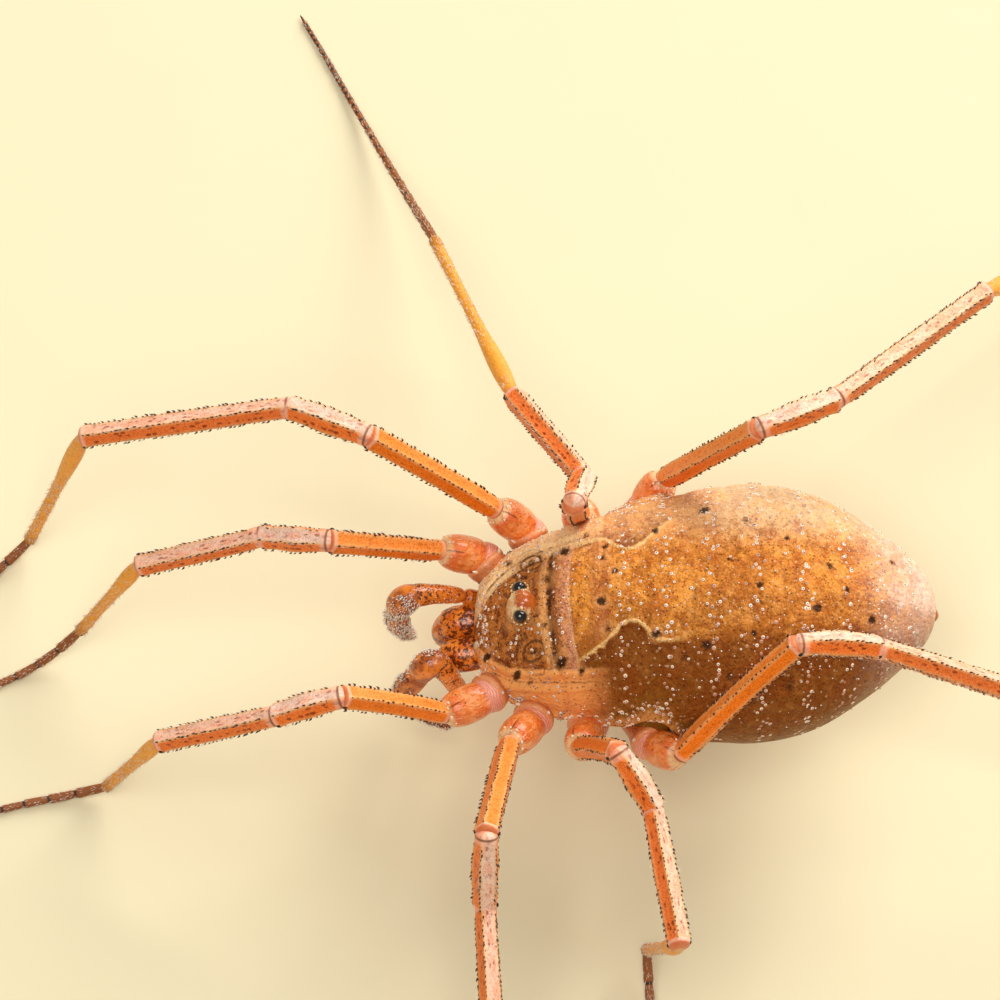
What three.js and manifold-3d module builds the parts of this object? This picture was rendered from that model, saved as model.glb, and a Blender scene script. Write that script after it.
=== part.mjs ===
// A harvestman at life size, standing on the floor with its eight legs spread.
// Millimetres. +Z is up, the head points to -Y and the animal's left is +X. The feet stand at z = 0.
import * as THREE from "three";
import { mergeVertices } from "three/addons/utils/BufferGeometryUtils.js";
import Module from "manifold-3d";

// Clearances
const GAP = 0.22;
const FINE_GAP = 0.1;
const MERGE_STEP = 1e-4;

// Body
const BODY_LEVEL = 3.2;
const FRONT_TIP = -4.02;
const REAR_TIP = 4.02;
const BODY_SIDES = 32;
const BODY_RINGS = 30;
// One station: place along the body, half width, and the back, flank and belly heights from BODY_LEVEL.
const BODY_STATIONS = [
  { along: FRONT_TIP, half: 0, back: -0.56, flank: -0.56, belly: -0.56 },
  { along: -3.9, half: 0.78, back: -0.2, flank: -0.5, belly: -0.85 },
  { along: -3.45, half: 1.27, back: 0.28, flank: -0.4, belly: -1.1 },
  { along: -2.75, half: 1.6, back: 0.82, flank: -0.3, belly: -1.25 },
  { along: -1.85, half: 1.84, back: 1.22, flank: -0.2, belly: -1.4 },
  { along: -0.3, half: 2.2, back: 1.52, flank: -0.1, belly: -1.62 },
  { along: 0.7, half: 2.33, back: 1.56, flank: -0.05, belly: -1.68 },
  { along: 1.75, half: 2.16, back: 1.45, flank: 0, belly: -1.55 },
  { along: 2.7, half: 1.64, back: 1.14, flank: 0.05, belly: -1.2 },
  { along: 3.4, half: 1.09, back: 0.79, flank: 0.06, belly: -0.78 },
  { along: 3.85, half: 0.59, back: 0.43, flank: 0.04, belly: -0.4 },
  { along: REAR_TIP, half: 0, back: 0, flank: 0, belly: 0 },
];
const GROOVES = [-3.02, -2.62, -1.75, -1.05, -0.3, 0.5, 1.3, 2.05, 2.75, 3.3];
const GROOVE_DEPTH = 0.022;
const GROOVE_HALF_WIDTH = 0.09;
const WAIST = { back: -2.28, slope: 34 };

// Eye mound and eyes
const MOUND = { along: -3.17, level: 0.3, radius: 0.33, height: 0.66 };
const EYE = { across: 0.262, along: -3.225, level: 0.735, radius: 0.122 };

// Coxae: the inner end under the body, and the ring where each leg begins
const COXA_RADIUS = 0.36;
const COXA_ROOTS = [
  { across: 0.45, along: -3.1, level: -0.85 },
  { across: 0.6, along: -2.6, level: -0.95 },
  { across: 0.65, along: -2.1, level: -1.0 },
  { across: 0.85, along: -1.55, level: -1.0 },
];
const LEG_ROOTS = [
  { across: 1.31, along: -3.88, level: -0.42 },
  { across: 1.82, along: -3.08, level: -0.42 },
  { across: 1.95, along: -2.08, level: -0.5 },
  { across: 2.25, along: -0.95, level: -0.52 },
];

// Leg segments, root to foot, for legs 1 to 4
const SEGMENTS = ["trochanter", "femur", "patella", "tibia", "metatarsus"];
const LENGTHS = [
  { trochanter: 0.75, femur: 2.3, patella: 1.27, tibia: 2.35, metatarsus: 2.6, tarsus: 3.4 },
  { trochanter: 0.75, femur: 3.1, patella: 1.55, tibia: 3.8, metatarsus: 3.9, tarsus: 5.4 },
  { trochanter: 0.72, femur: 2.0, patella: 1.15, tibia: 2.6, metatarsus: 4.4, tarsus: 5.6 },
  { trochanter: 0.64, femur: 3.3, patella: 1.5, tibia: 3.8, metatarsus: 5.6, tarsus: 4.8 },
];
// Radii at the root, the middle and the knee of each segment
const RADII = {
  trochanter: [0.27, 0.33, 0.27],
  femur: [0.22, 0.26, 0.27],
  patella: [0.22, 0.28, 0.26],
  tibia: [0.22, 0.26, 0.25],
  metatarsus: [0.22, 0.25, 0.25],
};
const KNEE = 2;
const SIDES = { trochanter: 8, femur: 6, patella: 6, tibia: 6, metatarsus: 6 };
const BOW = { trochanter: 0, femur: 0.06, patella: 0.07, tibia: 0, metatarsus: 0 };
const TARSUS = { root: 0.25, tip: 0.13, rings: 9, waist: 0.86, level: 0.2, sides: 6 };

// The stance: [heading, rise] of each segment in degrees, then the tarsus's first and last heading
// and the share of its length over which it comes down to the floor. Heading 0 is +X, 90 is +Y.
const STANCE = {
  leg_left_1: {
    pose: [[-64, 8], [-84, 39], [-84, -24], [-90, -29], [-94, -67]],
    foot: [-85, -70, 0.3],
  },
  leg_left_2: {
    pose: [[-37, 34], [-11, 39], [-3, -58], [2, -8], [4, -52]],
    foot: [8, 22, 0.3],
  },
  leg_left_3: {
    pose: [[-19, 44], [39, 61], [34, -26], [8, 6], [-162, -71]],
    foot: [2, 12, 0.3],
  },
  leg_left_4: {
    pose: [[54, 34], [118, 46], [95, -22], [76, -17], [68, -37]],
    foot: [60, 70, 0.3],
  },
  leg_right_1: {
    pose: [[-90, 30], [-83, 31], [-104, -20], [-86, -21], [-75, -63]],
    foot: [-62, -72, 0.4],
  },
  leg_right_2: {
    pose: [[-107, 47], [-105, 43], [-117, -11], [-90, -17], [-69, -72]],
    foot: [-48, -76, 0.3],
  },
  leg_right_3: {
    pose: [[-26, 82], [-13, 72], [165, -44], [-150, -25], [-161, -24]],
    foot: [-160, -152, 0.8],
  },
  leg_right_4: {
    pose: [[134, 46], [80, 61], [114, -8], [131, -16], [136, -48]],
    foot: [128, 112, 0.35],
  },
};

// Palps: the joints of each, from the hip to the tip, as across, along and level
const PALP_JOINTS = {
  palp_left: [
    [0.78, -3.95, -1.35],
    [1.0, -4.2, -1.3],
    [0.62, -4.68, -0.42],
    [0.7, -4.97, -0.82],
    [0.86, -5.32, -1.5],
    [1.1, -4.5, -2.33],
  ],
  palp_right: [
    [-0.7, -3.9, -0.95],
    [-0.68, -4.22, -0.62],
    [-0.5, -5.08, -0.1],
    [-0.42, -5.34, -0.55],
    [-0.32, -5.28, -1.12],
    [-0.45, -5.1, -1.85],
  ],
};
const PALP_RADIUS = { trochanter: 0.2, femur: 0.22, patella: 0.24, tibia: 0.24, tip: 0.13 };

// Jaws
const JAW = { across: 0.3, start: -3.6, end: -4.42, level: -0.98, radius: 0.25, hand: 0.82 };

const COLOURS = {
  prosoma: 0xb5652c,
  abdomen: 0xb4602a,
  eye_mound: 0xd07a30,
  eye: 0x0b0b10,
  chelicera: 0xd86a18,
  palp: 0xc65f1e,
  trochanter: 0xe0662a,
  femur: 0xf08020,
  patella: 0xe0825a,
  tibia: 0xd97a50,
  metatarsus: 0xb88a58,
  tarsus: 0x7a5230,
};

const wasm = await Module();
wasm.setup();

const vector = (x, y, z) => new THREE.Vector3(x, y, z);
const atLevel = ({ across, along, level }, side = 1) => vector(side * across, along, BODY_LEVEL + level);

// A geometry with shared vertices and no collapsed faces.
function tidy(geometry) {
  geometry.deleteAttribute("normal");
  geometry.deleteAttribute("uv");
  const merged = mergeVertices(geometry, MERGE_STEP);
  const index = merged.index.array;
  const kept = [];
  for (let i = 0; i < index.length; i += 3) {
    const [a, b, c] = index.subarray(i, i + 3);
    if (a !== b && b !== c && c !== a) kept.push(a, b, c);
  }
  merged.setIndex(kept);
  return merged;
}

// A profile of [radius, place] pairs turned round the Y axis, with a face across each end.
function turned(profile, sides, startAngle = 0) {
  const ends = [[0, profile[0][1]], ...profile, [0, profile.at(-1)[1]]];
  const points = ends.map(([radius, place]) => new THREE.Vector2(radius, place));
  return tidy(new THREE.LatheGeometry(points, sides, startAngle));
}

// Moves every vertex of a geometry by a function of its place.
function reshape(geometry, move) {
  const position = geometry.attributes.position;
  const point = new THREE.Vector3();
  for (let i = 0; i < position.count; i++) {
    move(point.fromBufferAttribute(position, i));
    position.setXYZ(i, point.x, point.y, point.z);
  }
  return geometry;
}

function solid(geometry) {
  return new wasm.Manifold(
    new wasm.Mesh({
      numProp: 3,
      vertProperties: new Float32Array(geometry.attributes.position.array),
      triVerts: new Uint32Array(geometry.index.array),
    }),
  );
}

function geometryOf(manifold) {
  const bodies = manifold.decompose().sort((a, b) => b.volume() - a.volume());
  const mesh = bodies[0].getMesh();
  const geometry = new THREE.BufferGeometry();
  geometry.setAttribute("position", new THREE.BufferAttribute(mesh.vertProperties, 3));
  geometry.setIndex(new THREE.BufferAttribute(mesh.triVerts, 1));
  return geometry;
}

function named(name, geometry, kind = name) {
  const glossy = kind === "eye";
  const material = new THREE.MeshStandardMaterial({
    color: COLOURS[kind],
    roughness: glossy ? 0.1 : 0.55,
    metalness: 0,
    flatShading: !glossy,
  });
  const mesh = new THREE.Mesh(geometry, material);
  mesh.name = name;
  return mesh;
}

// Body: one smooth form through the stations, parted behind the head shield by a slanted cut.
const bodyTurn = (along) => Math.acos(1 - (2 * (along - FRONT_TIP)) / (REAR_TIP - FRONT_TIP));
const bodyPlace = (turn) => FRONT_TIP + ((1 - Math.cos(turn)) / 2) * (REAR_TIP - FRONT_TIP);
const bodyShape = new THREE.CubicInterpolant(
  BODY_STATIONS.map((station) => bodyTurn(station.along)),
  BODY_STATIONS.flatMap(({ half, back, flank, belly }) => [half, back, flank, belly]),
  4,
);

function bodyRings() {
  const plain = Array.from({ length: BODY_RINGS + 1 }, (_, i) => bodyPlace((Math.PI * i) / BODY_RINGS));
  const clear = plain.filter((y) => GROOVES.every((g) => Math.abs(y - g) > 1.4 * GROOVE_HALF_WIDTH));
  const edges = GROOVES.flatMap((g) => [g - GROOVE_HALF_WIDTH, g, g + GROOVE_HALF_WIDTH]);
  return [...clear, ...edges].sort((a, b) => a - b);
}

function bodySolid(clearance = 0) {
  const rings = bodyRings();
  const profile = rings.map((y, i) => [i === 0 || i === rings.length - 1 ? 0 : 1, y]);
  const geometry = turned(profile.slice(1, -1), BODY_SIDES);
  return solid(
    reshape(geometry, (p) => {
      const onAxis = Math.hypot(p.x, p.z) < 0.5;
      const y = onAxis ? (p.y < 0 ? FRONT_TIP : REAR_TIP) : p.y;
      const [half, back, flank, belly] = bodyShape.evaluate(bodyTurn(y));
      const groove = GROOVES.some((g) => Math.abs(y - g) < 1e-6) ? GROOVE_DEPTH : 0;
      const upper = p.z > 0;
      const rise = upper ? back - flank - groove * p.z : flank - belly;
      const x = onAxis ? 0 : p.x * (half + clearance);
      const z = onAxis ? 0 : p.z * (rise + clearance);
      p.set(x, y + (onAxis ? Math.sign(y) * clearance : 0), BODY_LEVEL + flank + z);
    }),
  );
}

function partedBody() {
  const slab = new THREE.BoxGeometry(8, GAP, 12);
  slab.rotateX(THREE.MathUtils.degToRad(WAIST.slope));
  slab.translate(0, WAIST.back + Math.tan(THREE.MathUtils.degToRad(WAIST.slope)) * -1.1, BODY_LEVEL);
  const slabAt = tidy(slab);
  const halves = bodySolid().subtract(solid(slabAt)).decompose();
  return halves.sort((a, b) => a.boundingBox().min[1] - b.boundingBox().min[1]);
}

// A tapered limb between two points, round at its far end.
function limbBetween(from, to, radius, farRadius, sides = 8) {
  const length = from.distanceTo(to);
  const profile = [
    [radius * 0.8, 0],
    [radius, length * 0.15],
    [farRadius, length],
    [farRadius * 0.87, length + farRadius * 0.5],
    [farRadius * 0.5, length + farRadius * 0.87],
  ];
  const turn = new THREE.Quaternion().setFromUnitVectors(vector(0, 1, 0), to.clone().sub(from).normalize());
  return turned(profile, sides).applyQuaternion(turn).translate(from.x, from.y, from.z);
}

function coxaSolid(number, side, clearance = 0) {
  const root = atLevel(COXA_ROOTS[number], side);
  const ring = atLevel(LEG_ROOTS[number], side);
  const inward = root.clone().sub(ring).normalize();
  const end = ring.clone().addScaledVector(inward, GAP);
  const length = root.distanceTo(end) + clearance;
  const radius = COXA_RADIUS + clearance;
  const profile = [
    [radius * 0.75, 0],
    [radius * 0.95, length * 0.3],
    [radius * 0.9, length - 0.22],
    [radius, length - 0.16],
    [radius * 0.96, length],
  ];
  const turn = new THREE.Quaternion().setFromUnitVectors(vector(0, 1, 0), inward.negate());
  return solid(turned(profile, 10).applyQuaternion(turn).translate(root.x, root.y, root.z));
}

const bothSides = (make) => [make(1), make(-1)];

// Legs: every segment ends in a rounded knee, and the next one starts clear of it.
function segmentGeometry(kind, length, start, clearance = 0) {
  const [root, shaft, knee] = RADII[kind].map((radius) => radius + clearance);
  const middle = (start + length) / 2;
  const profile = [
    [root * 0.85, start],
    [root, start + 0.12],
    [shaft, middle],
    [knee, length - 0.12],
    [knee * 0.87, length + knee * 0.5],
    [knee * 0.5, length + knee * 0.87],
  ];
  return reshape(turned(profile, SIDES[kind]), (p) => {
    const share = THREE.MathUtils.clamp((p.y - start) / (length - start), 0, 1);
    p.z += BOW[kind] * Math.sin(Math.PI * share);
  });
}

function heading(degrees, rise = 0) {
  const h = THREE.MathUtils.degToRad(degrees);
  const e = THREE.MathUtils.degToRad(rise);
  return vector(Math.cos(h) * Math.cos(e), Math.sin(h) * Math.cos(e), Math.sin(e));
}

// The tarsus comes down from the heel and lies along the floor on a flat underside.
function tarsusGeometry(heel, length, [first, last, drop]) {
  const start = RADII.metatarsus[KNEE] + GAP;
  const count = 2 * TARSUS.rings;
  const centre = (share) => {
    const steps = 24;
    const point = heel.clone();
    for (let i = 0; i < steps; i++) {
      const turn = THREE.MathUtils.lerp(first, last, ((i + 0.5) / steps) * share);
      point.addScaledVector(heading(turn), (length * share) / steps);
    }
    const low = Math.min(share / drop, 1);
    point.z = THREE.MathUtils.lerp(heel.z, TARSUS.level, low * (2 - low));
    return point;
  };
  const shareAt = (i) => THREE.MathUtils.lerp(start / length, 1, i / count);
  const radiusAt = (i) => {
    const taper = THREE.MathUtils.lerp(TARSUS.root, TARSUS.tip, (i / count) ** 1.5);
    return i % 2 ? taper : taper * TARSUS.waist;
  };
  const profile = Array.from({ length: count + 1 }, (_, i) => [radiusAt(i), i]);
  return reshape(turned(profile, TARSUS.sides, Math.PI / TARSUS.sides), (p) => {
    const share = shareAt(p.y);
    const at = centre(share);
    const along = centre(share + 0.01).sub(centre(share - 0.01)).normalize();
    const across = along.clone().cross(vector(0, 0, 1)).normalize();
    const up = across.clone().cross(along);
    const { x, z } = p;
    p.copy(at).addScaledVector(across, x).addScaledVector(up, z);
    p.z = Math.max(p.z, 0);
  });
}

// A leg from its coxa to its foot. A segment that folds back on the one before it, or lies close to
// the body, is cut clear of it.
function leg(name, number, side, bodyRoom) {
  const group = new THREE.Group();
  const { pose, foot } = STANCE[name];
  const lengths = LENGTHS[number];
  const joint = atLevel(LEG_ROOTS[number], side);
  let start = 0;
  let room = bodyRoom;
  SEGMENTS.forEach((kind, i) => {
    const [turn, rise] = pose[i].map(THREE.MathUtils.degToRad);
    const holder = new THREE.Object3D();
    holder.position.copy(joint);
    holder.rotation.set(rise, 0, turn - Math.PI / 2, "ZYX");
    holder.updateMatrix();
    const inPlace = (clearance) =>
      solid(segmentGeometry(kind, lengths[kind], start, clearance).applyMatrix4(holder.matrix));
    const cut = geometryOf(inPlace(0).subtract(room));
    const mesh = named(`${name}_${kind}`, cut.applyMatrix4(holder.matrix.clone().invert()), kind);
    mesh.position.copy(holder.position);
    mesh.rotation.copy(holder.rotation);
    group.add(mesh);
    room = inPlace(GAP).add(bodyRoom);
    joint.addScaledVector(heading(...pose[i]), lengths[kind]);
    start = RADII[kind][KNEE] + GAP;
  });
  group.add(named(`${name}_tarsus`, tarsusGeometry(joint, lengths.tarsus, foot), "tarsus"));
  return group;
}

// Palps: hip and femur in one node, then the patella, tibia and tarsus with their brush-bearing lobes.
function palp(name, cutter) {
  const joints = PALP_JOINTS[name].map(([x, y, z]) => vector(x, y, BODY_LEVEL + z));
  const [hip, knee, bend, ankle, wrist, tip] = joints;
  const { trochanter, femur, patella, tibia, tip: tipRadius } = PALP_RADIUS;
  const upper = solid(limbBetween(hip, knee, trochanter, trochanter))
    .add(solid(limbBetween(knee, bend, femur * 0.8, femur)))
    .subtract(cutter);
  const outward = ankle.clone().sub(bend).normalize();
  const from = bend.clone().addScaledVector(outward, femur + GAP - 0.04);
  const lower = solid(limbBetween(from, ankle, patella, patella))
    .add(solid(limbBetween(ankle, wrist, patella, tibia)))
    .add(solid(limbBetween(wrist, tip, tibia * 0.8, tipRadius)))
    .subtract(cutter);
  const group = new THREE.Group();
  group.add(named(`${name}_femur`, geometryOf(upper), "palp"));
  group.add(named(`${name}_tibia`, geometryOf(lower), "palp"));
  return group;
}

// Jaws: a short bulbous base under the head shield, and a hanging hand with two fingers.
function chelicera(name, side, cutter) {
  const at = (x, y, z) => vector(side * x, y, BODY_LEVEL + z);
  const { across, start, end, level, radius, hand } = JAW;
  const bend = at(across, end, level);
  const wrist = at(across, end - 0.08, level - hand);
  const whole = solid(limbBetween(at(across, start, level - 0.1), bend, radius, radius))
    .add(solid(limbBetween(bend, wrist, radius, radius * 0.8)))
    .add(solid(limbBetween(wrist, at(across + 0.06, end + 0.06, level - hand - 0.42), 0.12, 0.05, 6)))
    .add(solid(limbBetween(wrist, at(across - 0.1, end + 0.12, level - hand - 0.38), 0.12, 0.05, 6)))
    .subtract(cutter);
  return named(name, geometryOf(whole), "chelicera");
}

function eyeSolid(side, clearance = 0) {
  const geometry = new THREE.SphereGeometry(EYE.radius + clearance, 12, 8);
  geometry.rotateY(THREE.MathUtils.degToRad(90));
  const centre = atLevel(EYE, side);
  return solid(tidy(geometry.translate(centre.x, centre.y, centre.z)));
}

function moundSolid(clearance = 0) {
  const { along, level, radius, height } = MOUND;
  const geometry = new THREE.SphereGeometry(1, 16, 12);
  geometry.rotateX(THREE.MathUtils.degToRad(90));
  geometry.scale(radius + clearance, radius * 0.92 + clearance, height + clearance);
  return solid(tidy(geometry.translate(0, along, BODY_LEVEL + level)));
}

const harvestman = new THREE.Group();

const [front, rear] = partedBody();
const numbers = [0, 1, 2, 3];
const coxae = numbers.flatMap((n) => bothSides((side) => coxaSolid(n, side)));
const prosoma = coxae.reduce((whole, coxa) => whole.add(coxa), front);
const hindCoxaRoom = [2, 3].flatMap((n) => bothSides((side) => coxaSolid(n, side, GAP)));
const abdomen = hindCoxaRoom.reduce((whole, room) => whole.subtract(room), rear);
harvestman.add(named("prosoma", geometryOf(prosoma)));
harvestman.add(named("abdomen", geometryOf(abdomen)));

const eyeSockets = bothSides((side) => eyeSolid(side, FINE_GAP));
const mound = eyeSockets.reduce((whole, socket) => whole.subtract(socket), moundSolid());
harvestman.add(named("eye_mound", geometryOf(mound.subtract(bodySolid(FINE_GAP)))));
harvestman.add(named("eye_left", geometryOf(eyeSolid(1)), "eye"));
harvestman.add(named("eye_right", geometryOf(eyeSolid(-1)), "eye"));

const bodyClear = bodySolid(GAP);
const legRoom = bodySolid(FINE_GAP);
harvestman.add(chelicera("chelicera_left", 1, bodyClear));
harvestman.add(chelicera("chelicera_right", -1, bodyClear));
harvestman.add(palp("palp_left", bodyClear));
harvestman.add(palp("palp_right", bodyClear));
numbers.forEach((n) => {
  harvestman.add(leg(`leg_left_${n + 1}`, n, 1, legRoom));
  harvestman.add(leg(`leg_right_${n + 1}`, n, -1, legRoom));
});

// The origin is on the floor under the middle of the whole animal's box.
const box = new THREE.Box3().setFromObject(harvestman, true);
const middle = box.getCenter(new THREE.Vector3());
harvestman.position.set(-middle.x, -middle.y, 0);

export default harvestman;
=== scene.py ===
import math

import bmesh
import bpy
import numpy as np
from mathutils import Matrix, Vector


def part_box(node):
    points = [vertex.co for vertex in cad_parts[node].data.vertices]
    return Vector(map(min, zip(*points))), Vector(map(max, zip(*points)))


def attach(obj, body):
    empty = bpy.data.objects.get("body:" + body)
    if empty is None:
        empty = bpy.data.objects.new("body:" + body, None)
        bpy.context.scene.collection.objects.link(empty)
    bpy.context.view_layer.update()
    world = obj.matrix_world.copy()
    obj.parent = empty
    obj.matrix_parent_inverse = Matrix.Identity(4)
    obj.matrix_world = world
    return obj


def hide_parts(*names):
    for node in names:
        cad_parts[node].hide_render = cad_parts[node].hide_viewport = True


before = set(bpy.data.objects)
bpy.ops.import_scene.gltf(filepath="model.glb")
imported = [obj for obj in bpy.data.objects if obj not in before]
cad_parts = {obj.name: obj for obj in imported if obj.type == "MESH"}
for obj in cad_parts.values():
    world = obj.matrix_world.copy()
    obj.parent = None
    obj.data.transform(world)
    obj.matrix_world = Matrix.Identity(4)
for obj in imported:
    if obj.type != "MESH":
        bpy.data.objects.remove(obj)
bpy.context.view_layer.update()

bl_info = {
    "name": "Harvestman",
    "version": (1, 0, 0),
    "blender": (4, 5, 0),
    "location": "View3D > Sidebar > Harvestman",
    "description": "Dresses a harvestman's solids with cuticle, teeth, bristles, granules and eyes",
    "category": "Object",
}

MM = 0.001
TURN = 2 * math.pi
SIDES_OF_BODY = {"left": 1, "right": -1}
SEED = 5
# The way back along the animal, that granules and spikes lean or bend to
BACKWARDS = (0.0, 1.0, 0.1)
# How far turn and angle move to find the slope of the body's skin
NUDGE = 0.004
# How strongly the skin's points crowd towards the midline of the back, where its detail is
CROWD_TO_BACK = 0.3
# Side of the patch that one spike takes up on the map for baked colours
BAKE_PATCH = 0.003

# The body, as the solids have it: place along, half width, and back, flank and belly heights
FRONT_TIP, REAR_TIP = -4.02, 4.02
BODY_LEVEL = 3.2
BODY_STATIONS = (
    (FRONT_TIP, 0.0, -0.56, -0.56, -0.56),
    (-3.9, 0.78, -0.2, -0.5, -0.85),
    (-3.45, 1.27, 0.28, -0.4, -1.1),
    (-2.75, 1.6, 0.82, -0.3, -1.25),
    (-1.85, 1.84, 1.22, -0.2, -1.4),
    (-0.3, 2.2, 1.52, -0.1, -1.62),
    (0.7, 2.33, 1.56, -0.05, -1.68),
    (1.75, 2.16, 1.45, 0.0, -1.55),
    (2.7, 1.64, 1.14, 0.05, -1.2),
    (3.4, 1.09, 0.79, 0.06, -0.78),
    (3.85, 0.59, 0.43, 0.04, -0.4),
    (REAR_TIP, 0.0, 0.0, 0.0, 0.0),
)
BODY_SIDES, BODY_RINGS = 280, 320

# How far the flat upper face of the legs' five-sided segments is turned about the leg, in degrees, turned
# towards the key light since that face is painted pale as lit
FACE_TURNS = {
    "leg_left_1": 14,
    "leg_left_2": -20,
    "leg_left_3": -38,
    "leg_left_4": -16,
    "leg_right_1": 14,
    "leg_right_2": 24,
    "leg_right_3": 34,
    "leg_right_4": -20,
}

# Furrows across the back: place on the midline, how far the sides lag, depth, half width and pigment
FURROWS = (
    (-2.72, 0.1, 0.06, 0.036, 1.0),
    (-2.38, 0.1, 0.022, 0.022, 0.0),
    (-1.8, 0.03, 0.02, 0.04, 0.2),
    (-1.05, 0.02, 0.016, 0.06, 0.12),
    (-0.3, 0.0, 0.016, 0.06, 0.1),
    (0.5, -0.02, 0.016, 0.06, 0.1),
    (1.3, -0.04, 0.016, 0.06, 0.1),
    (2.05, -0.07, 0.016, 0.06, 0.1),
    (2.75, -0.12, 0.016, 0.05, 0.12),
    (3.3, -0.2, 0.016, 0.045, 0.15),
)
# The edge of the pale saddle on each side: place along and distance from the midline
SADDLE_EDGES = {
    1: ((-2.6, 1.3), (-2.23, 1.13), (-1.67, 0.83), (-1.48, 0.65), (-1.23, 0.62), (-1.08, 0.73),
        (-0.94, 0.92), (-0.72, 0.98), (-0.2, 0.92), (0.8, 0.78), (2.2, 0.7), (4.0, 0.3)),
    -1: ((-2.6, 1.15), (-2.17, 1.0), (-1.7, 0.98), (-1.53, 0.83), (-1.31, 0.73), (-1.09, 0.83),
         (-0.87, 1.03), (-0.56, 1.26), (0.0, 1.5), (0.8, 1.55), (2.2, 1.35), (4.0, 0.6)),
}
# Dark spots on the back: across, along, radius and darkness
SPOTS = (
    (-0.32, -1.57, 0.055, 0.8), (0.21, -1.82, 0.07, 1.0), (0.87, -0.91, 0.07, 1.0), (-1.07, -0.86, 0.06, 0.9),
    (-1.47, 0.01, 0.08, 0.7), (-0.82, 1.42, 0.05, 0.8), (0.1, 0.91, 0.06, 0.9), (-0.3, 2.14, 0.06, 0.8),
    (0.48, 1.9, 0.07, 1.0), (0.12, 2.42, 0.05, 0.9), (0.58, 2.84, 0.07, 0.8), (1.11, -0.02, 0.08, 0.7),
    (0.95, 0.78, 0.06, 0.6), (-0.55, 3.25, 0.05, 0.6), (1.08, -2.52, 0.075, 1.0), (0.7, -1.72, 0.06, 0.6),
    (1.29, -2.2, 0.06, 0.8), (-0.62, -1.78, 0.06, 0.6), (-0.85, -1.72, 0.05, 0.7), (-0.4, 0.4, 0.07, 0.4),
    (0.3, -0.2, 0.05, 0.4), (-1.2, 0.75, 0.06, 0.5), (0.65, -3.81, 0.065, 1.0), (1.1, -3.3, 0.06, 0.9),
    (1.24, -3.08, 0.055, 0.6), (-1.0, -3.4, 0.07, 0.6), (1.3, -0.4, 0.08, 0.5), (1.6, 0.35, 0.08, 0.6),
    (-0.9, -2.42, 0.08, 0.8), (-1.2, -2.05, 0.05, 0.5), (0.2, -3.3, 0.07, 0.5), (0.25, -2.95, 0.06, 0.5),
    (0.45, -2.8, 0.06, 0.6), (-0.4, -2.75, 0.07, 0.6), (1.75, 1.4, 0.09, 0.5), (-0.2, 0.0, 0.05, 0.4),
)
# The oval scar on each side of the head shield, and how far the shield's furrows lie off the midline
OVAL = {"across": 0.88, "along": -3.0, "half_width": 0.19, "half_length": 0.23}
HEAD_SKEW = 0.14
# The rim of the back: its angle down from the midline along the body, lifted over the fourth coxa
RIM = ((-4.0, 96), (-3.57, 100), (-3.08, 99), (-2.55, 101), (-2.0, 99), (-1.48, 91), (-1.09, 79),
       (-0.75, 80), (-0.38, 97), (0.3, 104), (1.5, 104), (2.8, 100), (4.0, 95))

# The eye mound and its eyes, the two plates over the jaws and the plate at the hind end
MOUND = {"along": -3.17, "level": 0.3, "radius": 0.33, "height": 0.66}
EYE_PLACE, EYE_RADIUS = (0.262, -3.225, 0.735), 0.122
JAW_PLATES = ((-0.42, -3.86, -0.62), (0.32, -3.9, -0.62))
HIND_PLATE = (0.12, 3.92, -0.05)

# Granules of the back: rows across it and how many stand elsewhere, then the fine grains between them
GRANULE_ROWS = (-1.42, -0.68, 0.1, 0.9, 1.68, 2.4, 3.02, 3.5)
GRANULES = {"per_mm_of_row": 26, "head": 130, "rim": 110, "front": 26, "grains": 1300}

# Where each coxa starts and where it ends, at the joint with the trochanter, for legs 1 to 4
COXA_ROOTS = ((0.45, -3.1, -0.85), (0.6, -2.6, -0.95), (0.65, -2.1, -1.0), (0.85, -1.55, -1.0))
LEG_ROOTS = ((1.31, -3.88, -0.42), (1.82, -3.08, -0.42), (1.95, -2.08, -0.5), (2.25, -0.95, -0.52))

# Leg segments, for legs 1 to 4
KINDS = ("trochanter", "femur", "patella", "tibia", "metatarsus")
LENGTHS = (
    (0.75, 2.3, 1.27, 2.35, 2.6, 3.4),
    (0.75, 3.1, 1.55, 3.8, 3.9, 5.4),
    (0.72, 2.0, 1.15, 2.6, 4.4, 5.6),
    (0.64, 3.3, 1.5, 3.8, 5.6, 4.8),
)
# The stance: heading and rise of each segment, then the tarsus's first and last heading and the
# share of its length over which it comes down to the floor
STANCE = {
    "leg_left_1": ((-64, 8), (-84, 39), (-84, -24), (-90, -29), (-94, -67), (-85, -70, 0.3)),
    "leg_left_2": ((-37, 34), (-11, 39), (-3, -58), (2, -8), (4, -52), (8, 22, 0.3)),
    "leg_left_3": ((-19, 44), (39, 61), (34, -26), (8, 6), (-162, -71), (2, 12, 0.3)),
    "leg_left_4": ((54, 34), (118, 46), (95, -22), (76, -17), (68, -37), (60, 70, 0.3)),
    "leg_right_1": ((-90, 30), (-83, 31), (-104, -20), (-86, -21), (-75, -63), (-62, -72, 0.4)),
    "leg_right_2": ((-107, 47), (-105, 43), (-117, -11), (-90, -17), (-69, -72), (-48, -76, 0.3)),
    "leg_right_3": ((-26, 82), (-13, 72), (165, -44), (-150, -25), (-161, -24), (-160, -152, 0.8)),
    "leg_right_4": ((134, 46), (80, 61), (114, -8), (131, -16), (136, -48), (128, 112, 0.35)),
}
BOW = {"femur": 0.06, "patella": 0.05}
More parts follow.
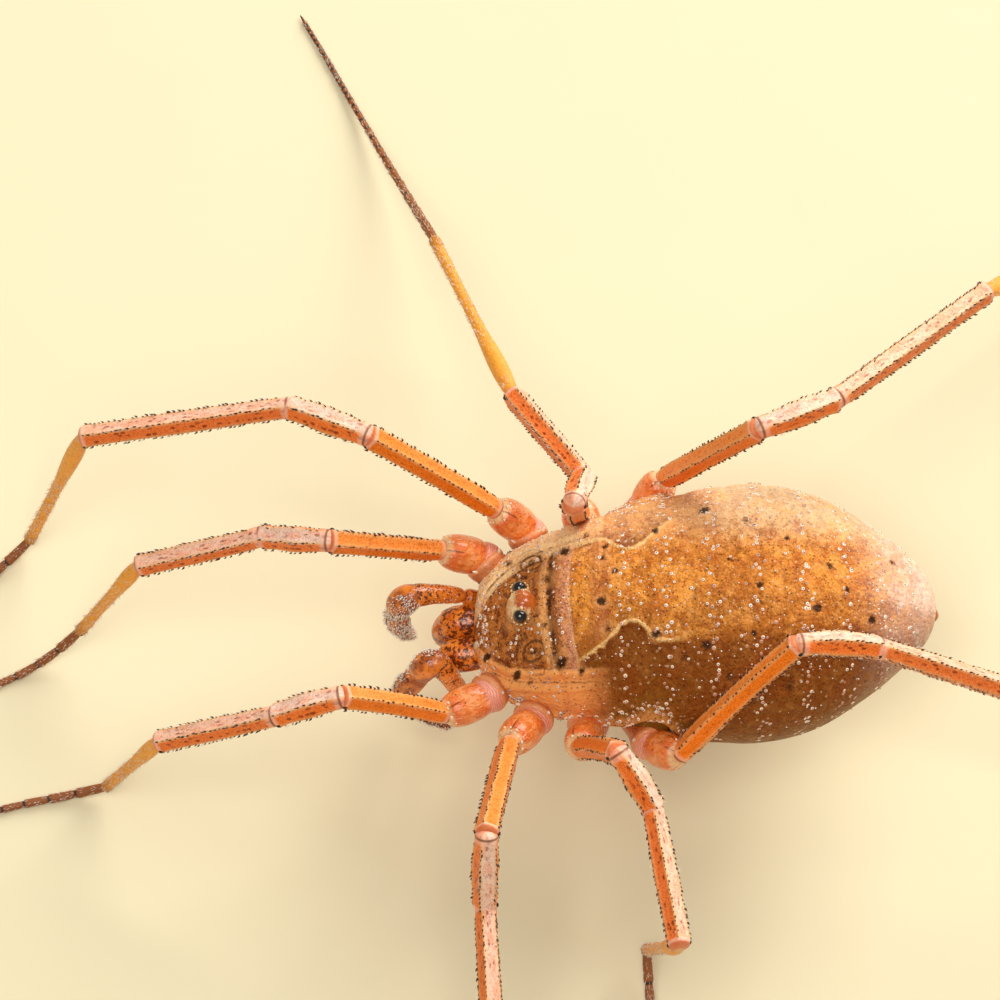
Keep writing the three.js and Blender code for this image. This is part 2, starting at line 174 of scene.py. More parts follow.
# Radius of the neck, its length, then the radii past the neck, half way and at the knee
SHAPES = {
    "femur": (0.17, 0.06, 0.19, 0.205, 0.215),
    "patella": (0.2, 0.05, 0.205, 0.24, 0.215),
    "tibia": (0.188, 0.05, 0.19, 0.205, 0.2),
    "metatarsus": (0.1, 0.06, 0.125, 0.1, 0.105),
}
# Profiles of the parts without a neck: share of the length, further millimetres along it, and radius
TROCHANTER = ((-0.25, 0, 0.0), (-0.2, 0, 0.17), (0.0, 0, 0.29), (0.16, 0, 0.325), (0.42, 0, 0.34),
              (0.72, 0, 0.325), (0.9, 0, 0.285), (1.0, 0, 0.23), (1.06, 0, 0.12), (1.07, 0, 0.0))
COXA = ((0, -0.02, 0.0), (0, 0.0, 0.2), (0, 0.15, 0.28), (0.5, 0, 0.34), (1, -0.3, 0.33), (1, -0.2, 0.36),
        (1, -0.1, 0.365), (1, -0.07, 0.34), (1, -0.06, 0.0))
COXA_SKIN = ((0, -0.06, 0.0), (0, -0.05, 0.15), (0, 0.02, 0.27), (0, 0.14, 0.325), (0, 0.28, 0.315),
             (0, 0.4, 0.26), (0, 0.46, 0.15), (0, 0.47, 0.0))
# Corners of each segment's section, how flat the faces between them are and how far the corners stand out
CORNERS = {"trochanter": 0, "femur": 5, "patella": 5, "tibia": 5, "metatarsus": 0}
FACE_FLATNESS, CORNER_RIDGE = 1.15, 0.1
TARSUS_RADIUS = (0.085, 0.04)
TARSOMERE = {"first": 0.55, "shrink": 0.9, "least": 0.11}
# Fine hairs to a millimetre of each segment
HAIRS = {"femur": 24, "patella": 44, "tibia": 50, "metatarsus": 170, "tarsus": 140}

# Palps: hip, knee, bend, ankle, wrist and tip of each, as across, along and level
PALP_JOINTS = {
    "left": ((0.78, -3.95, -1.35), (1.0, -4.2, -1.3), (0.62, -4.68, -0.42),
             (0.7, -4.97, -0.82), (0.86, -5.32, -1.5), (1.1, -4.5, -2.33)),
    "right": ((-0.7, -3.9, -0.95), (-0.68, -4.22, -0.62), (-0.5, -5.08, -0.1),
              (-0.42, -5.34, -0.55), (-0.32, -5.28, -1.12), (-0.45, -5.1, -1.85)),
}
# The palp's parts between those joints: how far the middle bulges, faces round and along, and profile
PALP_PARTS = {
    "hip": ((0, 0, 0), (28, 24), (
        (0, -0.12, 0.0), (0, -0.1, 0.1), (0, 0.02, 0.16), (0, 0.2, 0.165), (0, 0.34, 0.14), (0, 0.42, 0.0))),
    "femur": ((0, 0, 0.07), (30, 40), (
        (0, -0.06, 0.0), (0, -0.05, 0.08), (0, 0.04, 0.13), (0, 0.25, 0.155), (0.6, 0, 0.175), (1, 0, 0.19),
        (1, 0.1, 0.15), (1, 0.14, 0.0))),
    "patella": ((0, -0.06, 0.06), (36, 34), (
        (0, -0.2, 0.0), (0, -0.17, 0.1), (0, -0.08, 0.18), (0, 0.06, 0.235), (0, 0.25, 0.245), (1, 0, 0.2),
        (1, 0.1, 0.13), (1, 0.13, 0.0))),
    "tibia": ((0, -0.05, 0), (36, 34), (
        (0, -0.16, 0.0), (0, -0.13, 0.1), (0, -0.04, 0.17), (0, 0.14, 0.21), (0.6, 0, 0.215), (1, 0, 0.17),
        (1, 0.08, 0.1), (1, 0.1, 0.0))),
    "tarsus": ((0, -0.05, -0.06), (28, 40), (
        (0, -0.08, 0.0), (0, -0.06, 0.09), (0, 0.05, 0.13), (0, 0.3, 0.14), (0.7, 0, 0.115), (1, 0, 0.07),
        (1, 0.06, 0.0))),
}
# Bristles of the palp: count, share of the length where they start, how much the skin has to face the
# midline to carry them, and their length
PALP_BRISTLES = {
    "patella": (640, -0.2, 0.3, 0.07),
    "tibia": (760, -0.1, 0.0, 0.07),
    "tarsus": (460, 0.0, -2.0, 0.07),
    "femur": (160, 0.2, -2.0, 0.04),
}
JAW = {"across": 0.3, "start": -3.6, "end": -4.42, "level": -0.98, "radius": 0.27, "hand": 0.82}

# The photograph's view, and the studio: each light's way from the animal, distance, size and colour
VIEW = {"azimuth": 88.5, "elevation": 68.0, "distance": 150.0, "pixels_per_mm": 57.5, "frame": 1000.0}
BODY_PIXEL = (705.0, 613.0)
SENSOR = 36.0
FLOOR_REACH = 1.5
SKY, SKY_STRENGTH = (1.0, 0.95, 0.87, 1.0), 0.3
LAMPS = {
    "key light": ((-0.75, 0.5, 0.52), 0.19, 0.13, (1.0, 0.97, 0.93)),
    "fill light": ((0.3, -0.1, 1.0), 0.2, 0.11, (1.0, 0.96, 0.9)),
}


def shade(red, green, blue):
    """A colour from the 0 to 255 values that a screen shows."""
    values = np.array((red, green, blue)) / 255
    values = np.where(values > 0.04045, ((values + 0.055) / 1.055) ** 2.4, values / 12.92)
    return tuple(float(value) for value in values)


def colour_property(name, description, red, green, blue):
    return bpy.props.FloatVectorProperty(
        name=name, description=description, subtype="COLOR", size=3, min=0, max=1,
        default=shade(red, green, blue),
    )


def length_property(name, description, metres):
    return bpy.props.FloatProperty(
        name=name, description=description, default=metres, min=0, unit="LENGTH", precision=6,
    )


class BodyLooks(bpy.types.PropertyGroup):
    saddle: colour_property("Saddle", "Middle of the back", 240, 152, 54)
    rust: colour_property("Rust", "Back beside the saddle", 104, 50, 2)
    olive: colour_property("Olive", "Flanks below the rim of the back", 106, 100, 2)
    belly: colour_property("Belly", "Underside", 180, 132, 60)
    purple: colour_property("Purple", "Head shield and its furrows", 104, 50, 34)
    edge_line: colour_property("Edge line", "Wavy line round the saddle", 255, 208, 138)
    pigment: colour_property("Pigment", "Speckle, spots and furrows", 38, 18, 12)
    # The rear colour is painted sheen: the pale pink wash where the key light catches the hind end.
    rear: colour_property("Rear", "Hind end of the back", 255, 224, 206)
    granule_height: length_property("Granule height", "Height of a granule on the back", 0.04 * MM)
    loose_granules: bpy.props.IntProperty(
        name="Loose granules", description="Granules between the rows across the back", default=400, min=0,
    )


class LegLooks(bpy.types.PropertyGroup):
    trochanter: colour_property("Trochanter", "First short segment", 252, 146, 60)
    femur: colour_property("Femur", "Femora", 255, 126, 12)
    patella: colour_property("Patella", "Patellae", 252, 122, 44)
    tibia: colour_property("Tibia", "Tibiae", 244, 120, 52)
    metatarsus: colour_property("Metatarsus", "Metatarsi", 250, 166, 44)
    tarsus: colour_property("Tarsus", "Tarsi", 148, 80, 22)
    # Painted light: the upper face is painted pale as lit by the key light.
    pale: colour_property("Pale face", "Upper faces of patella and tibia", 255, 204, 178)
    spot: colour_property("Spots", "Brown mottling of patella and tibia", 140, 44, 14)
    membrane: colour_property("Joint skin", "Soft skin at the joints", 255, 206, 184)
    tooth: colour_property("Teeth", "Teeth and bristles on the ridges", 30, 16, 12)
    tooth_height: length_property("Tooth height", "Height of a tooth on a ridge", 0.092 * MM)
    tooth_step: length_property("Tooth step", "Distance between two teeth", 0.1 * MM)
    hair_length: length_property("Hair length", "Length of a fine hair", 0.09 * MM)


class HeadLooks(bpy.types.PropertyGroup):
    mound: colour_property("Eye mound", "Mound between the eyes", 196, 100, 24)
    ring: colour_property("Eye ring", "Pale ring round each eye", 252, 226, 168)
    eye: colour_property("Eye", "Lens of each eye", 6, 6, 9)
    jaw: colour_property("Jaws", "Chelicerae", 218, 104, 18)
    palp: colour_property("Palps", "Palps", 214, 112, 30)
    dark: colour_property("Marks", "Dark net on jaws and palps", 58, 16, 8)
    palp_end: colour_property("Outer palps", "Patella, tibia and tarsus of the palps", 178, 88, 28)
    bristle: colour_property("Bristles", "Tips of the bristles on the palps", 255, 250, 236)


class StageLooks(bpy.types.PropertyGroup):
    floor: colour_property("Floor", "Plain pale floor", 236, 226, 190)
    key: bpy.props.FloatProperty(name="Key light", description="Main light, in watts", default=0.42, min=0)
    fill: bpy.props.FloatProperty(name="Fill light", description="Fill light, in watts", default=0.2, min=0)


# Places and smooth curves
ABDOMEN_LOW, ABDOMEN_HIGH = (np.array(corner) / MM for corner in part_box("abdomen"))
ANIMAL_ORIGIN = np.array([(ABDOMEN_LOW[0] + ABDOMEN_HIGH[0]) / 2, ABDOMEN_HIGH[1] - REAR_TIP, 0.0])


def unit(vectors):
    return vectors / np.maximum(np.linalg.norm(vectors, axis=-1, keepdims=True), 1e-12)


def hill(distance, width):
    return np.exp(-((distance / width) ** 2))


def step(value, low, high):
    """0 below low, 1 above high, smooth between."""
    t = np.clip((value - low) / (high - low), 0, 1)
    return t * t * (3 - 2 * t)


def smooth(knots, values, at):
    """A smooth curve through the values at the knots, read at the given places."""
    knots, values = np.asarray(knots, float), np.asarray(values, float)
    slopes = np.gradient(values, knots, axis=0)
    left = np.clip(np.searchsorted(knots, at, side="right") - 1, 0, len(knots) - 2)
    gap = knots[left + 1] - knots[left]
    t = np.clip((at - knots[left]) / gap, 0, 1)
    if values.ndim > 1:
        gap, t = gap[:, None], t[:, None]
    start = (2 * t**3 - 3 * t**2 + 1) * values[left] + (t**3 - 2 * t**2 + t) * gap * slopes[left]
    end = (3 * t**2 - 2 * t**3) * values[left + 1] + (t**3 - t**2) * gap * slopes[left + 1]
    return start + end


def heading(degrees, rise=0.0):
    """The way that a compass angle from +X and a rise above the floor give."""
    h, e = np.radians(degrees), np.radians(rise)
    return np.stack([np.cos(h) * np.cos(e), np.sin(h) * np.cos(e), np.sin(e) + 0 * h], axis=-1)


def at_level(place, side=1):
    """A place on the animal given from the middle of the body, mirrored for side -1."""
    across, along, level = place
    return np.array([side * across, along, BODY_LEVEL + level])


# A form is its points, the round meshes that they reshape, one after another, and values at the points
BALLS = {}


def ball(sides, rings):
    """A round closed mesh, with each point's share of the way from root to tip and its angle."""
    if (sides, rings) not in BALLS:
        shape = bmesh.new()
        bmesh.ops.create_uvsphere(shape, u_segments=sides, v_segments=rings, radius=1.0)
        points = np.array([vert.co for vert in shape.verts])
        mesh = bpy.data.meshes.new("ball")
        shape.to_mesh(mesh)
        shape.free()
        share = 1 - np.arccos(np.clip(points[:, 2], -1, 1)) / math.pi
        BALLS[sides, rings] = mesh, share, np.arctan2(points[:, 1], points[:, 0])
    return BALLS[sides, rings]


def joined(forms):
    """Several forms as one."""
    points, meshes, values = zip(*forms)
    values = {name: np.concatenate([each[name] for each in values]) for name in values[0]}
    return np.concatenate(points), [mesh for each in meshes for mesh in each], values


def finished_piece(name, form, material, replaces=()):
    """Makes the piece's object, in metres in the row's frame, and rides it on the part."""
    points, meshes, values = form
    shape = bmesh.new()
    for mesh in meshes:
        shape.from_mesh(mesh, face_normals=False, vertex_normals=False)
    mesh = bpy.data.meshes.new(name)
    shape.to_mesh(mesh)
    shape.free()
    mesh.vertices.foreach_set("co", ((points + ANIMAL_ORIGIN) * MM).astype(np.float32).ravel())
    for key, value in values.items():
        if key == "bake_place":
            layer = mesh.uv_layers.new(name="OFBake")
            corners = np.zeros(len(mesh.loops), dtype=np.int32)
            mesh.loops.foreach_get("vertex_index", corners)
            layer.data.foreach_set("uv", value[corners].astype(np.float32).ravel())
        else:
            layer = mesh.attributes.new(key, "FLOAT", "POINT")
            layer.data.foreach_set("value", value.astype(np.float32))
    mesh.update()
    mesh.shade_smooth()
    mesh.materials.append(material)
    made = bpy.data.objects.new(name, mesh)
    bpy.context.scene.collection.objects.link(made)
    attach(made, "root")
    if replaces:
        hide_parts(*replaces)


def spikes(sides, rings, roots, axes, curl_to, lengths, widths, root_uv, curl=0.0, power=1.0, tone=None):
    """One form of many alike spikes, each from its root along its axis and bent towards curl_to."""
    mesh, share, angle = ball(sides, rings)
    count = len(roots)
    lengths, widths = (np.broadcast_to(value, count)[:, None] for value in (lengths, widths))
    girth = np.where(share <= 0, 0, np.sin(math.pi * np.clip(share * 0.5 + 0.5, 0, 1)) ** power)
    axes = unit(np.broadcast_to(axes, (count, 3)))
    side = unit(np.cross(axes, curl_to))
    over = np.cross(side, axes)
    bend = curl * lengths * share**2
    points = (
        np.asarray(roots)[:, None]
        + axes[:, None] * (lengths * share)[..., None]
        + side[:, None] * (widths * girth * np.cos(angle))[..., None]
        + over[:, None] * (bend - widths * girth * np.sin(angle))[..., None]
    )
    if tone is None:
        tone = np.random.default_rng(SEED).random(count)
    patch = BAKE_PATCH * np.stack([0.5 + 0.5 * np.cos(angle) * girth, share], axis=1)
    values = {
        "tip": np.tile(share, count),
        "tone": np.repeat(tone, len(share)),
        "bake_place": (np.asarray(root_uv)[:, None] * 0.99 + patch).reshape(-1, 2),
    }
    return points.reshape(-1, 3), [mesh] * count, values


# The body's surface
def turn_at(along):
    """The turn from the front tip, 0, to the rear tip, half a circle, at a place along the body."""
    return np.arccos(np.clip(1 - 2 * (along - FRONT_TIP) / (REAR_TIP - FRONT_TIP), -1, 1))


def along_at(turn):
    return FRONT_TIP + (1 - np.cos(turn)) / 2 * (REAR_TIP - FRONT_TIP)


STATIONS = np.array(BODY_STATIONS)
STATION_TURNS = turn_at(STATIONS[:, 0])
RIM_PLACES, RIM_ANGLES = np.array(RIM).T


def rim_at(along):
    return smooth(RIM_PLACES, RIM_ANGLES, along)


def section_at(turn):
    """Half width, and back, flank and belly heights of the body."""
    return smooth(STATION_TURNS, STATIONS[:, 1:], turn).T


def skin_uv(turn, angle):
    """A place on the unwrap of the body's skin."""
    return np.stack([angle / TURN + 0.5, turn / math.pi], axis=1)


def furrow_closeness(across, along):
    """For each furrow across the back: how close a point is to its line, its depth and its pigment."""
    for place, lag, depth, width, pigment in FURROWS:
        away = along - place - lag * across**2
        yield hill(away, width), depth, pigment * hill(away, 1.2 * width)


def oval_distance(across, along):
    """Distance in shares from the oval scars on the head shield, 1 on their outline."""
    x = (np.abs(across - HEAD_SKEW) - OVAL["across"]) / OVAL["half_width"]
    y = (along - OVAL["along"] - 0.4 * (np.abs(across) - OVAL["across"])) / OVAL["half_length"]
    return np.sqrt(x**2 + y**2)


def saddle_distance(across, along):
    """Distance out from the edge of the saddle, negative inside it."""
    edge = np.full_like(across, -1.0)
    for side, path in SADDLE_EDGES.items():
        places, widths = np.array(path).T
        slope = (smooth(places, widths, along + 0.01) - smooth(places, widths, along - 0.01)) / 0.02
        distance = (side * across - smooth(places, widths, along)) / np.sqrt(1 + slope**2)
        edge = np.where(across * side > 0, distance, edge)
    return edge


def furrow_distance(across, along):
    """Distance out from the furrow along each side of the head shield, negative between the two."""
    places = (-4.0, -3.76, -3.5, -3.1, -2.6, -2.2, -1.6)
    return np.abs(across - HEAD_SKEW) - smooth(places, (0.2, 0.52, 0.74, 0.9, 1.02, 1.08, 1.14), along)


def side_furrow(across, along, shift=0.0):
    """The furrow that runs along each side of the head shield, or a line beside it."""
    ends = step(along, -3.95, -3.7) * step(-along, 1.5, 2.2)
    return hill(furrow_distance(across, along) - shift, 0.035) * ends


def body_relief(across, along, angle):
    """How far the surface stands out from the plain body, in millimetres."""
    down = np.degrees(np.abs(angle))
    rim = rim_at(along)
    above = step(rim - down, 0, 12)
    relief = 0 * across
    for closeness, depth, _ in furrow_closeness(across, along):
        relief -= depth * closeness * above
    front = step(-along, -0.4, 0.6)
    relief += 0.1 * hill(down - rim + 3, 5.0) * (0.15 + 0.85 * front)
    relief -= 0.11 * hill(down - rim - 8, 6.0) * (0.15 + 0.85 * front)
    relief += 0.045 * side_furrow(across, along, 0.09) - 0.06 * side_furrow(across, along)
    relief += 0.05 * side_furrow(across, along, 0.3) - 0.05 * side_furrow(across, along, 0.2)
    relief -= 0.03 * hill(oval_distance(across, along) - 1, 0.22)
    relief += 0.02 * hill(oval_distance(across, along), 0.6)
    mound = np.hypot(across / 0.55, (along - MOUND["along"]) / 0.42)
    relief += 0.06 * hill(mound, 0.9) - 0.02 * hill(mound - 1.0, 0.18)
    for x, y, radius, dark in SPOTS:
        relief -= 0.02 * dark * hill(np.hypot(across - x, along - y), radius) * above
    edge = saddle_distance(across, along)
    shown = step(along, -2.25, -2.05) * step(-along, 0.2, 0.9) * above
    relief += (0.035 * hill(edge, 0.03) - 0.02 * step(edge, 0.0, 0.08) + 0.01) * shown
    lumps = np.sin(7.1 * along + 2.0 * across) * np.sin(5.3 * across + 1.7 * along)
    small = np.sin(23.0 * along + 9.0 * np.sin(3.1 * across))
    small = small * np.sin(19.0 * across + 8.0 * np.sin(2.7 * along))
    relief += (0.012 * lumps + 0.005 * small) * above
    belly = step(down, 118, 132)
    relief -= 0.02 * belly * hill((along % 0.75) - 0.375, 0.05) * step(along, -0.8, -0.3)
    return relief * step(along, FRONT_TIP, FRONT_TIP + 0.15) * step(-along, -REAR_TIP, -REAR_TIP + 0.2)


def body_surface(turn, angle):
    """Points of the body's skin, by turn from front to rear tip and angle from the midline of the back."""
    along = along_at(turn)
    half, back, flank, belly = section_at(turn)
    half = np.maximum(half, 0)
    rise = np.where(np.cos(angle) > 0, back - flank, flank - belly)
    across = half * np.sin(angle)
    level = flank + rise * np.cos(angle)
    out = unit(np.stack([rise * np.sin(angle), 0 * angle, half * np.cos(angle)], axis=1) + 1e-9)
    relief = body_relief(across, along, angle)
    return np.stack([across, along, BODY_LEVEL + level], axis=1) + out * relief[:, None]


def body_places(turn, angle, lift=0.0):
    """Points on the body's skin and the way out from it at each."""
    here = body_surface(turn, angle)
    round_way = body_surface(turn, angle + NUDGE) - here
    long_way = body_surface(turn + NUDGE, angle) - here
    out = unit(np.cross(round_way, long_way))
    return here + out * lift, out


def body_marks(across, along, angle):
    """The values that the body's material reads at each point."""
    down = np.degrees(np.abs(angle))
    rim = rim_at(along)
    pigment = 0.0 * across
    for _, _, darkness in furrow_closeness(across, along):
        pigment = np.maximum(pigment, darkness)
    shelf = furrow_distance(across, along)
    pigment *= step(-shelf, -0.12, 0.0) + step(along, -1.6, -1.4) * step(shelf, 0.0, 0.12)
    oval = oval_distance(across, along)
    pigment = np.maximum(pigment, 0.6 * np.maximum(hill(oval - 1, 0.2), hill(oval - 0.4, 0.16)))
    beside = np.maximum(side_furrow(across, along), side_furrow(across, along, 0.2))
    pigment = np.maximum(pigment, 0.7 * beside)
    spots = np.full_like(across, -1.0)
    for x, y, radius, dark in SPOTS:
        spots = np.maximum(spots, dark * (1 - np.hypot(across - x, along - y) / (1.5 * radius)))
    return {
        "edge": saddle_distance(across, along),
        "pigment": pigment * step(rim - down, 0, 12),
        "spots": np.where(down < 90, spots, -1.0),
        "shelf": shelf,
        "below_rim": down - rim,
        "along": along,
        "across": across,
    }


def body_form():
    mesh, share, angle = ball(BODY_SIDES, BODY_RINGS)
    turn = math.pi * share
    angle = angle - CROWD_TO_BACK * np.sin(angle)
    points = body_surface(turn, angle)
    return points, [mesh], body_marks(points[:, 0], along_at(turn), angle)


# Limbs
class Limb:
    """A segment of a leg, palp or jaw: a path, its dorsal side, and the radius along it."""

    def __init__(self, path, dorsal, profile, corners=0, face_turn=0.0):
        self.path = np.asarray(path, float)
        gaps = np.linalg.norm(np.diff(self.path, axis=0), axis=1)
        self.reach = np.concatenate([[0.0], np.cumsum(gaps)])
        self.length = self.reach[-1]
        self.lines = unit(np.gradient(self.path, self.reach, axis=0))
        self.dorsal = np.asarray(dorsal, float)
        self.profile = np.asarray(profile, float)
        self.corners, self.face_turn = corners, face_turn if corners else 0.0
        self.first_corner = self.face_turn + math.pi / max(corners, 1)

    def radius(self, along):
        return np.interp(along, self.profile[:, 0], self.profile[:, 1])

    def axes(self, along):
        at = np.clip(along, 0, self.length)
        centre = np.stack([np.interp(at, self.reach, self.path[:, k]) for k in range(3)], axis=-1)
        line = unit(np.stack([np.interp(at, self.reach, self.lines[:, k]) for k in range(3)], axis=-1))
        centre = centre + line * (along - at)[:, None]
        side = unit(np.cross(self.dorsal, line))
        return centre, line, side, np.cross(line, side)

    def corner_distance(self, angle):
        sector = TURN / self.corners
        return np.abs((angle - self.first_corner + sector / 2) % sector - sector / 2)

    def outline(self, along, angle):
        """How far a section's edge lies from its centre, as a share of the radius."""
        if not self.corners:
            return np.ones_like(angle)
        half = math.pi / self.corners
        off = self.corner_distance(angle)
        flat = math.cos(half) / np.cos(half - off)
        strength = step(along, 0.1, 0.35) * step(self.length - along, -0.02, 0.12)
        return 1 + strength * (CORNER_RIDGE * hill(off, 0.09) - FACE_FLATNESS * (1 - flat))

    def surface(self, along, angle, lift=0.0):
        centre, line, side, up = self.axes(along)
        out = up * np.cos(angle)[:, None] - side * np.sin(angle)[:, None]
        radius = self.radius(along) * self.outline(along, angle) + lift
        return centre + out * radius[:, None], out, line

    def form(self, sides, rings):
        mesh, share, angle = ball(sides, rings)
        lengths = np.linalg.norm(np.diff(self.profile, axis=0), axis=1)
        knots = np.concatenate([[0.0], np.cumsum(lengths)])
        at = share * knots[-1]
        along = np.interp(at, knots, self.profile[:, 0])
        radius = np.maximum(smooth(knots, self.profile[:, 1], at), 0)
        centre, _, side, up = self.axes(along)
        out = up * np.cos(angle)[:, None] - side * np.sin(angle)[:, None]
        points = centre + out * (radius * self.outline(along, angle))[:, None]
        values = {
            "from_root": along,
            "to_knee": self.length - along,
            "dorsal": np.cos(angle - self.face_turn),
            "sideways": np.sin(angle - self.face_turn),
            "corner": hill(self.corner_distance(angle), 0.12) if self.corners else 0 * angle,
        }
        return points, [mesh], values


def stretched(profile, length):
    """A profile's places and radii at a given length."""
    return [(share * length + further, radius) for share, further, radius in profile]


def segment_profile(shape, length):
    """Places and radii of a segment with a neck, a long shaft and a rounded knee."""
    neck, reach, shoulder, middle, knee = shape
    return (
        (-0.5 * neck, 0.0),
        (-0.4 * neck, 0.55 * neck),
        (0.0, neck),
        (reach, 0.6 * neck + 0.4 * shoulder),
        (reach + 0.1, shoulder),
        (0.5 * length, middle),
        (length - 0.2, knee),
        (length - 0.03, 1.02 * knee),
        (length + 0.03, 0.86 * knee),
        (length + 0.06, 0.5 * knee),
        (length + 0.065, 0.0),
    )


def bowed_path(start, line, dorsal, length, bow):
    share = np.linspace(0, 1, 24)[:, None]
    return start + line * share * length + dorsal * bow * np.sin(math.pi * share)


def smooth_path(points):
    """A smooth path through a few points."""
    points = np.array(points)
    knots = np.concatenate([[0.0], np.cumsum(np.linalg.norm(np.diff(points, axis=0), axis=1))])
    return smooth(knots, points, np.linspace(0, knots[-1], 40))


class Leg:
    """One leg: its joints, its segments as limbs and its tarsus."""

    def __init__(self, name):
        self.name = name
        _, side_name, number = name.split("_")
        self.side, self.number = SIDES_OF_BODY[side_name], int(number) - 1
        stance, lengths = STANCE[name], LENGTHS[self.number]
        self.joints = [at_level(LEG_ROOTS[self.number], self.side)]
        lines = [heading(*pose) for pose in stance[:5]]
        hinge = unit(np.cross(lines[1], lines[2]))
        self.hinges, self.limbs = [], {}
        for kind, line, length in zip(KINDS, lines, lengths):
            across = unit(hinge - line * (hinge @ line))
            dorsal = np.cross(line, across)
            path = bowed_path(self.joints[-1], line, dorsal, length, BOW.get(kind, 0))
            if kind == "trochanter":
                profile = stretched(TROCHANTER, length)
            else:
                profile = segment_profile(SHAPES[kind], length)
            self.limbs[kind] = Limb(path, dorsal, profile, CORNERS[kind], math.radians(FACE_TURNS[name]))
            self.joints.append(self.joints[-1] + line * length)
            self.hinges.append(across)
        self.limbs["tarsus"] = self.tarsus(lengths[5], *stance[5])

    def tarsus(self, length, first, last, drop):
        """The long tarsus, which turns from one heading to another as it comes down to the floor."""
        heel, count = self.joints[-1], 160
        share = np.linspace(0, 1, count)
        flat = heading(first + (last - first) * (share - 0.5 / count))
        path = heel + np.cumsum(flat, axis=0) * length / count
        low = np.minimum(share / drop, 1)
        low = low * (2 - low)
        path[:, 2] = heel[2] * (1 - low) + (TARSUS_RADIUS[0] * (1 - share) + TARSUS_RADIUS[1] * share) * low
        reach = np.linalg.norm(np.diff(path, axis=0), axis=1).sum()
        self.rings, place, gap = [], 0.0, TARSOMERE["first"]
        while place + gap < reach - 0.05:
            place += gap
            self.rings.append(place)
            gap = max(gap * TARSOMERE["shrink"], TARSOMERE["least"])
        knots = [0.0, *self.rings, reach]
        profile = [(-0.04, 0.0), (-0.03, 0.05)]
        for start, end in zip(knots, knots[1:]):
            girth = TARSUS_RADIUS[0] + (TARSUS_RADIUS[1] - TARSUS_RADIUS[0]) * start / reach
            gap = end - start
            profile += [
                (start, 0.84 * girth),
                (start + 0.15 * gap, 0.94 * girth),
                (start + 0.75 * gap, 1.02 * girth),
                (start + 0.93 * gap, 1.04 * girth),
            ]
        profile += [(reach, 0.8 * TARSUS_RADIUS[1]), (reach + 0.03, 0.0)]
        return Limb(path, (0.02, 0.03, 1.0), profile)


LEGS = [Leg(name) for name in STANCE]


# Nodes
class Tree:
    """Adds nodes to a tree. An input is a value or another node's output."""

    def __init__(self, tree):
        self.tree = tree

    def node(self, kind, inputs=None, **settings):
        made = self.tree.nodes.new(kind)
        for key, value in settings.items():
            setattr(made, key, value)
        for key, value in (inputs or {}).items():
            if isinstance(value, bpy.types.NodeSocket):
                self.tree.links.new(value, made.inputs[key])
            else:
                made.inputs[key].default_value = value
        return made

    def math(self, operation, *values):
        return self.node("ShaderNodeMath", dict(enumerate(values)), operation=operation).outputs[0]

    def product(self, first, *others):
        for other in others:
            first = self.math("MULTIPLY", first, other)
        return first

    def scaled(self, value, factor, start):
        """The value times the factor, counted from start."""
        return self.math("MULTIPLY_ADD", value, factor, start)

    def away(self, value, middle):
        """How far the value lies from the middle."""
        return self.math("ABSOLUTE", self.math("SUBTRACT", value, middle))

    def mix(self, factor, first, second):
        colours = (c if isinstance(c, bpy.types.NodeSocket) else (*c, 1.0) for c in (first, second))
        inputs = dict(zip((0, 6, 7), (factor, *colours)))
        return self.node("ShaderNodeMix", inputs, data_type="RGBA").outputs[2]

    def band(self, value, low, high, start=0.0, end=1.0):
        """Start below low, end above high, smooth between."""
        inputs = {"Value": value, "From Min": low, "From Max": high, "To Min": start, "To Max": end}
        return self.node("ShaderNodeMapRange", inputs, interpolation_type="SMOOTHSTEP").outputs[0]

    def read(self, name):
        return self.node("ShaderNodeAttribute", attribute_name=name).outputs["Fac"]

    def noise(self, vector, scale, detail=2.0, roughness=0.5):
        inputs = {"Vector": vector, "Scale": scale, "Detail": detail, "Roughness": roughness}
        return self.node("ShaderNodeTexNoise", inputs).outputs[0]

    def cells(self, vector, scale):
        return self.node("ShaderNodeTexVoronoi", {"Vector": vector, "Scale": scale}).outputs

    def vector(self, *parts):
        return self.node("ShaderNodeCombineXYZ", dict(enumerate(parts))).outputs[0]

    def effect(self, group, **inputs):
        inputs = {key.capitalize(): value for key, value in inputs.items()}
        return self.node("ShaderNodeGroup", inputs, node_tree=group()).outputs[0]


class Coat:
    """A colour that more colours are laid over."""

    def __init__(self, tree, colour):
        self.tree, self.colour = tree, colour

    def lay(self, other, *masks):
        """Lays a colour where the masks and strengths, multiplied, are high."""
        self.colour = self.tree.mix(self.tree.product(*masks), self.colour, other)


def effect_group(name, output="Mask", kind="NodeSocketFloat", **inputs):
    """Makes a function that fills a shader group give that group, built once for all materials."""
    def keep(fill):
        kept = []

        def group():
            if not kept:
                made = bpy.data.node_groups.new(name, "ShaderNodeTree")
                if inputs:
                    made.interface.new_socket("Vector", in_out="INPUT", socket_type="NodeSocketVector")
                for key, value in inputs.items():
                    socket = made.interface.new_socket(
                        key.capitalize(), in_out="INPUT", socket_type="NodeSocketFloat")
                    socket.default_value = value
                made.interface.new_socket(output, in_out="OUTPUT", socket_type=kind)
                tree = Tree(made)
                given = tree.node("NodeGroupInput").outputs
                tree.node("NodeGroupOutput", {0: fill(tree, given)})
                kept.append(made)
            return kept[0]

        return group

    return keep


@effect_group("Place in millimetres", "Vector", "NodeSocketVector")
def millimetres(tree, given):
    """The place on the animal, in millimetres."""
    place = tree.node("ShaderNodeTexCoord").outputs["Object"]
    scaled = tree.node("ShaderNodeVectorMath", {0: place, "Scale": 1 / MM}, operation="SCALE").outputs[0]
    return tree.node("ShaderNodeMapping", {"Vector": scaled, "Location": tuple(-ANIMAL_ORIGIN)}).outputs[0]


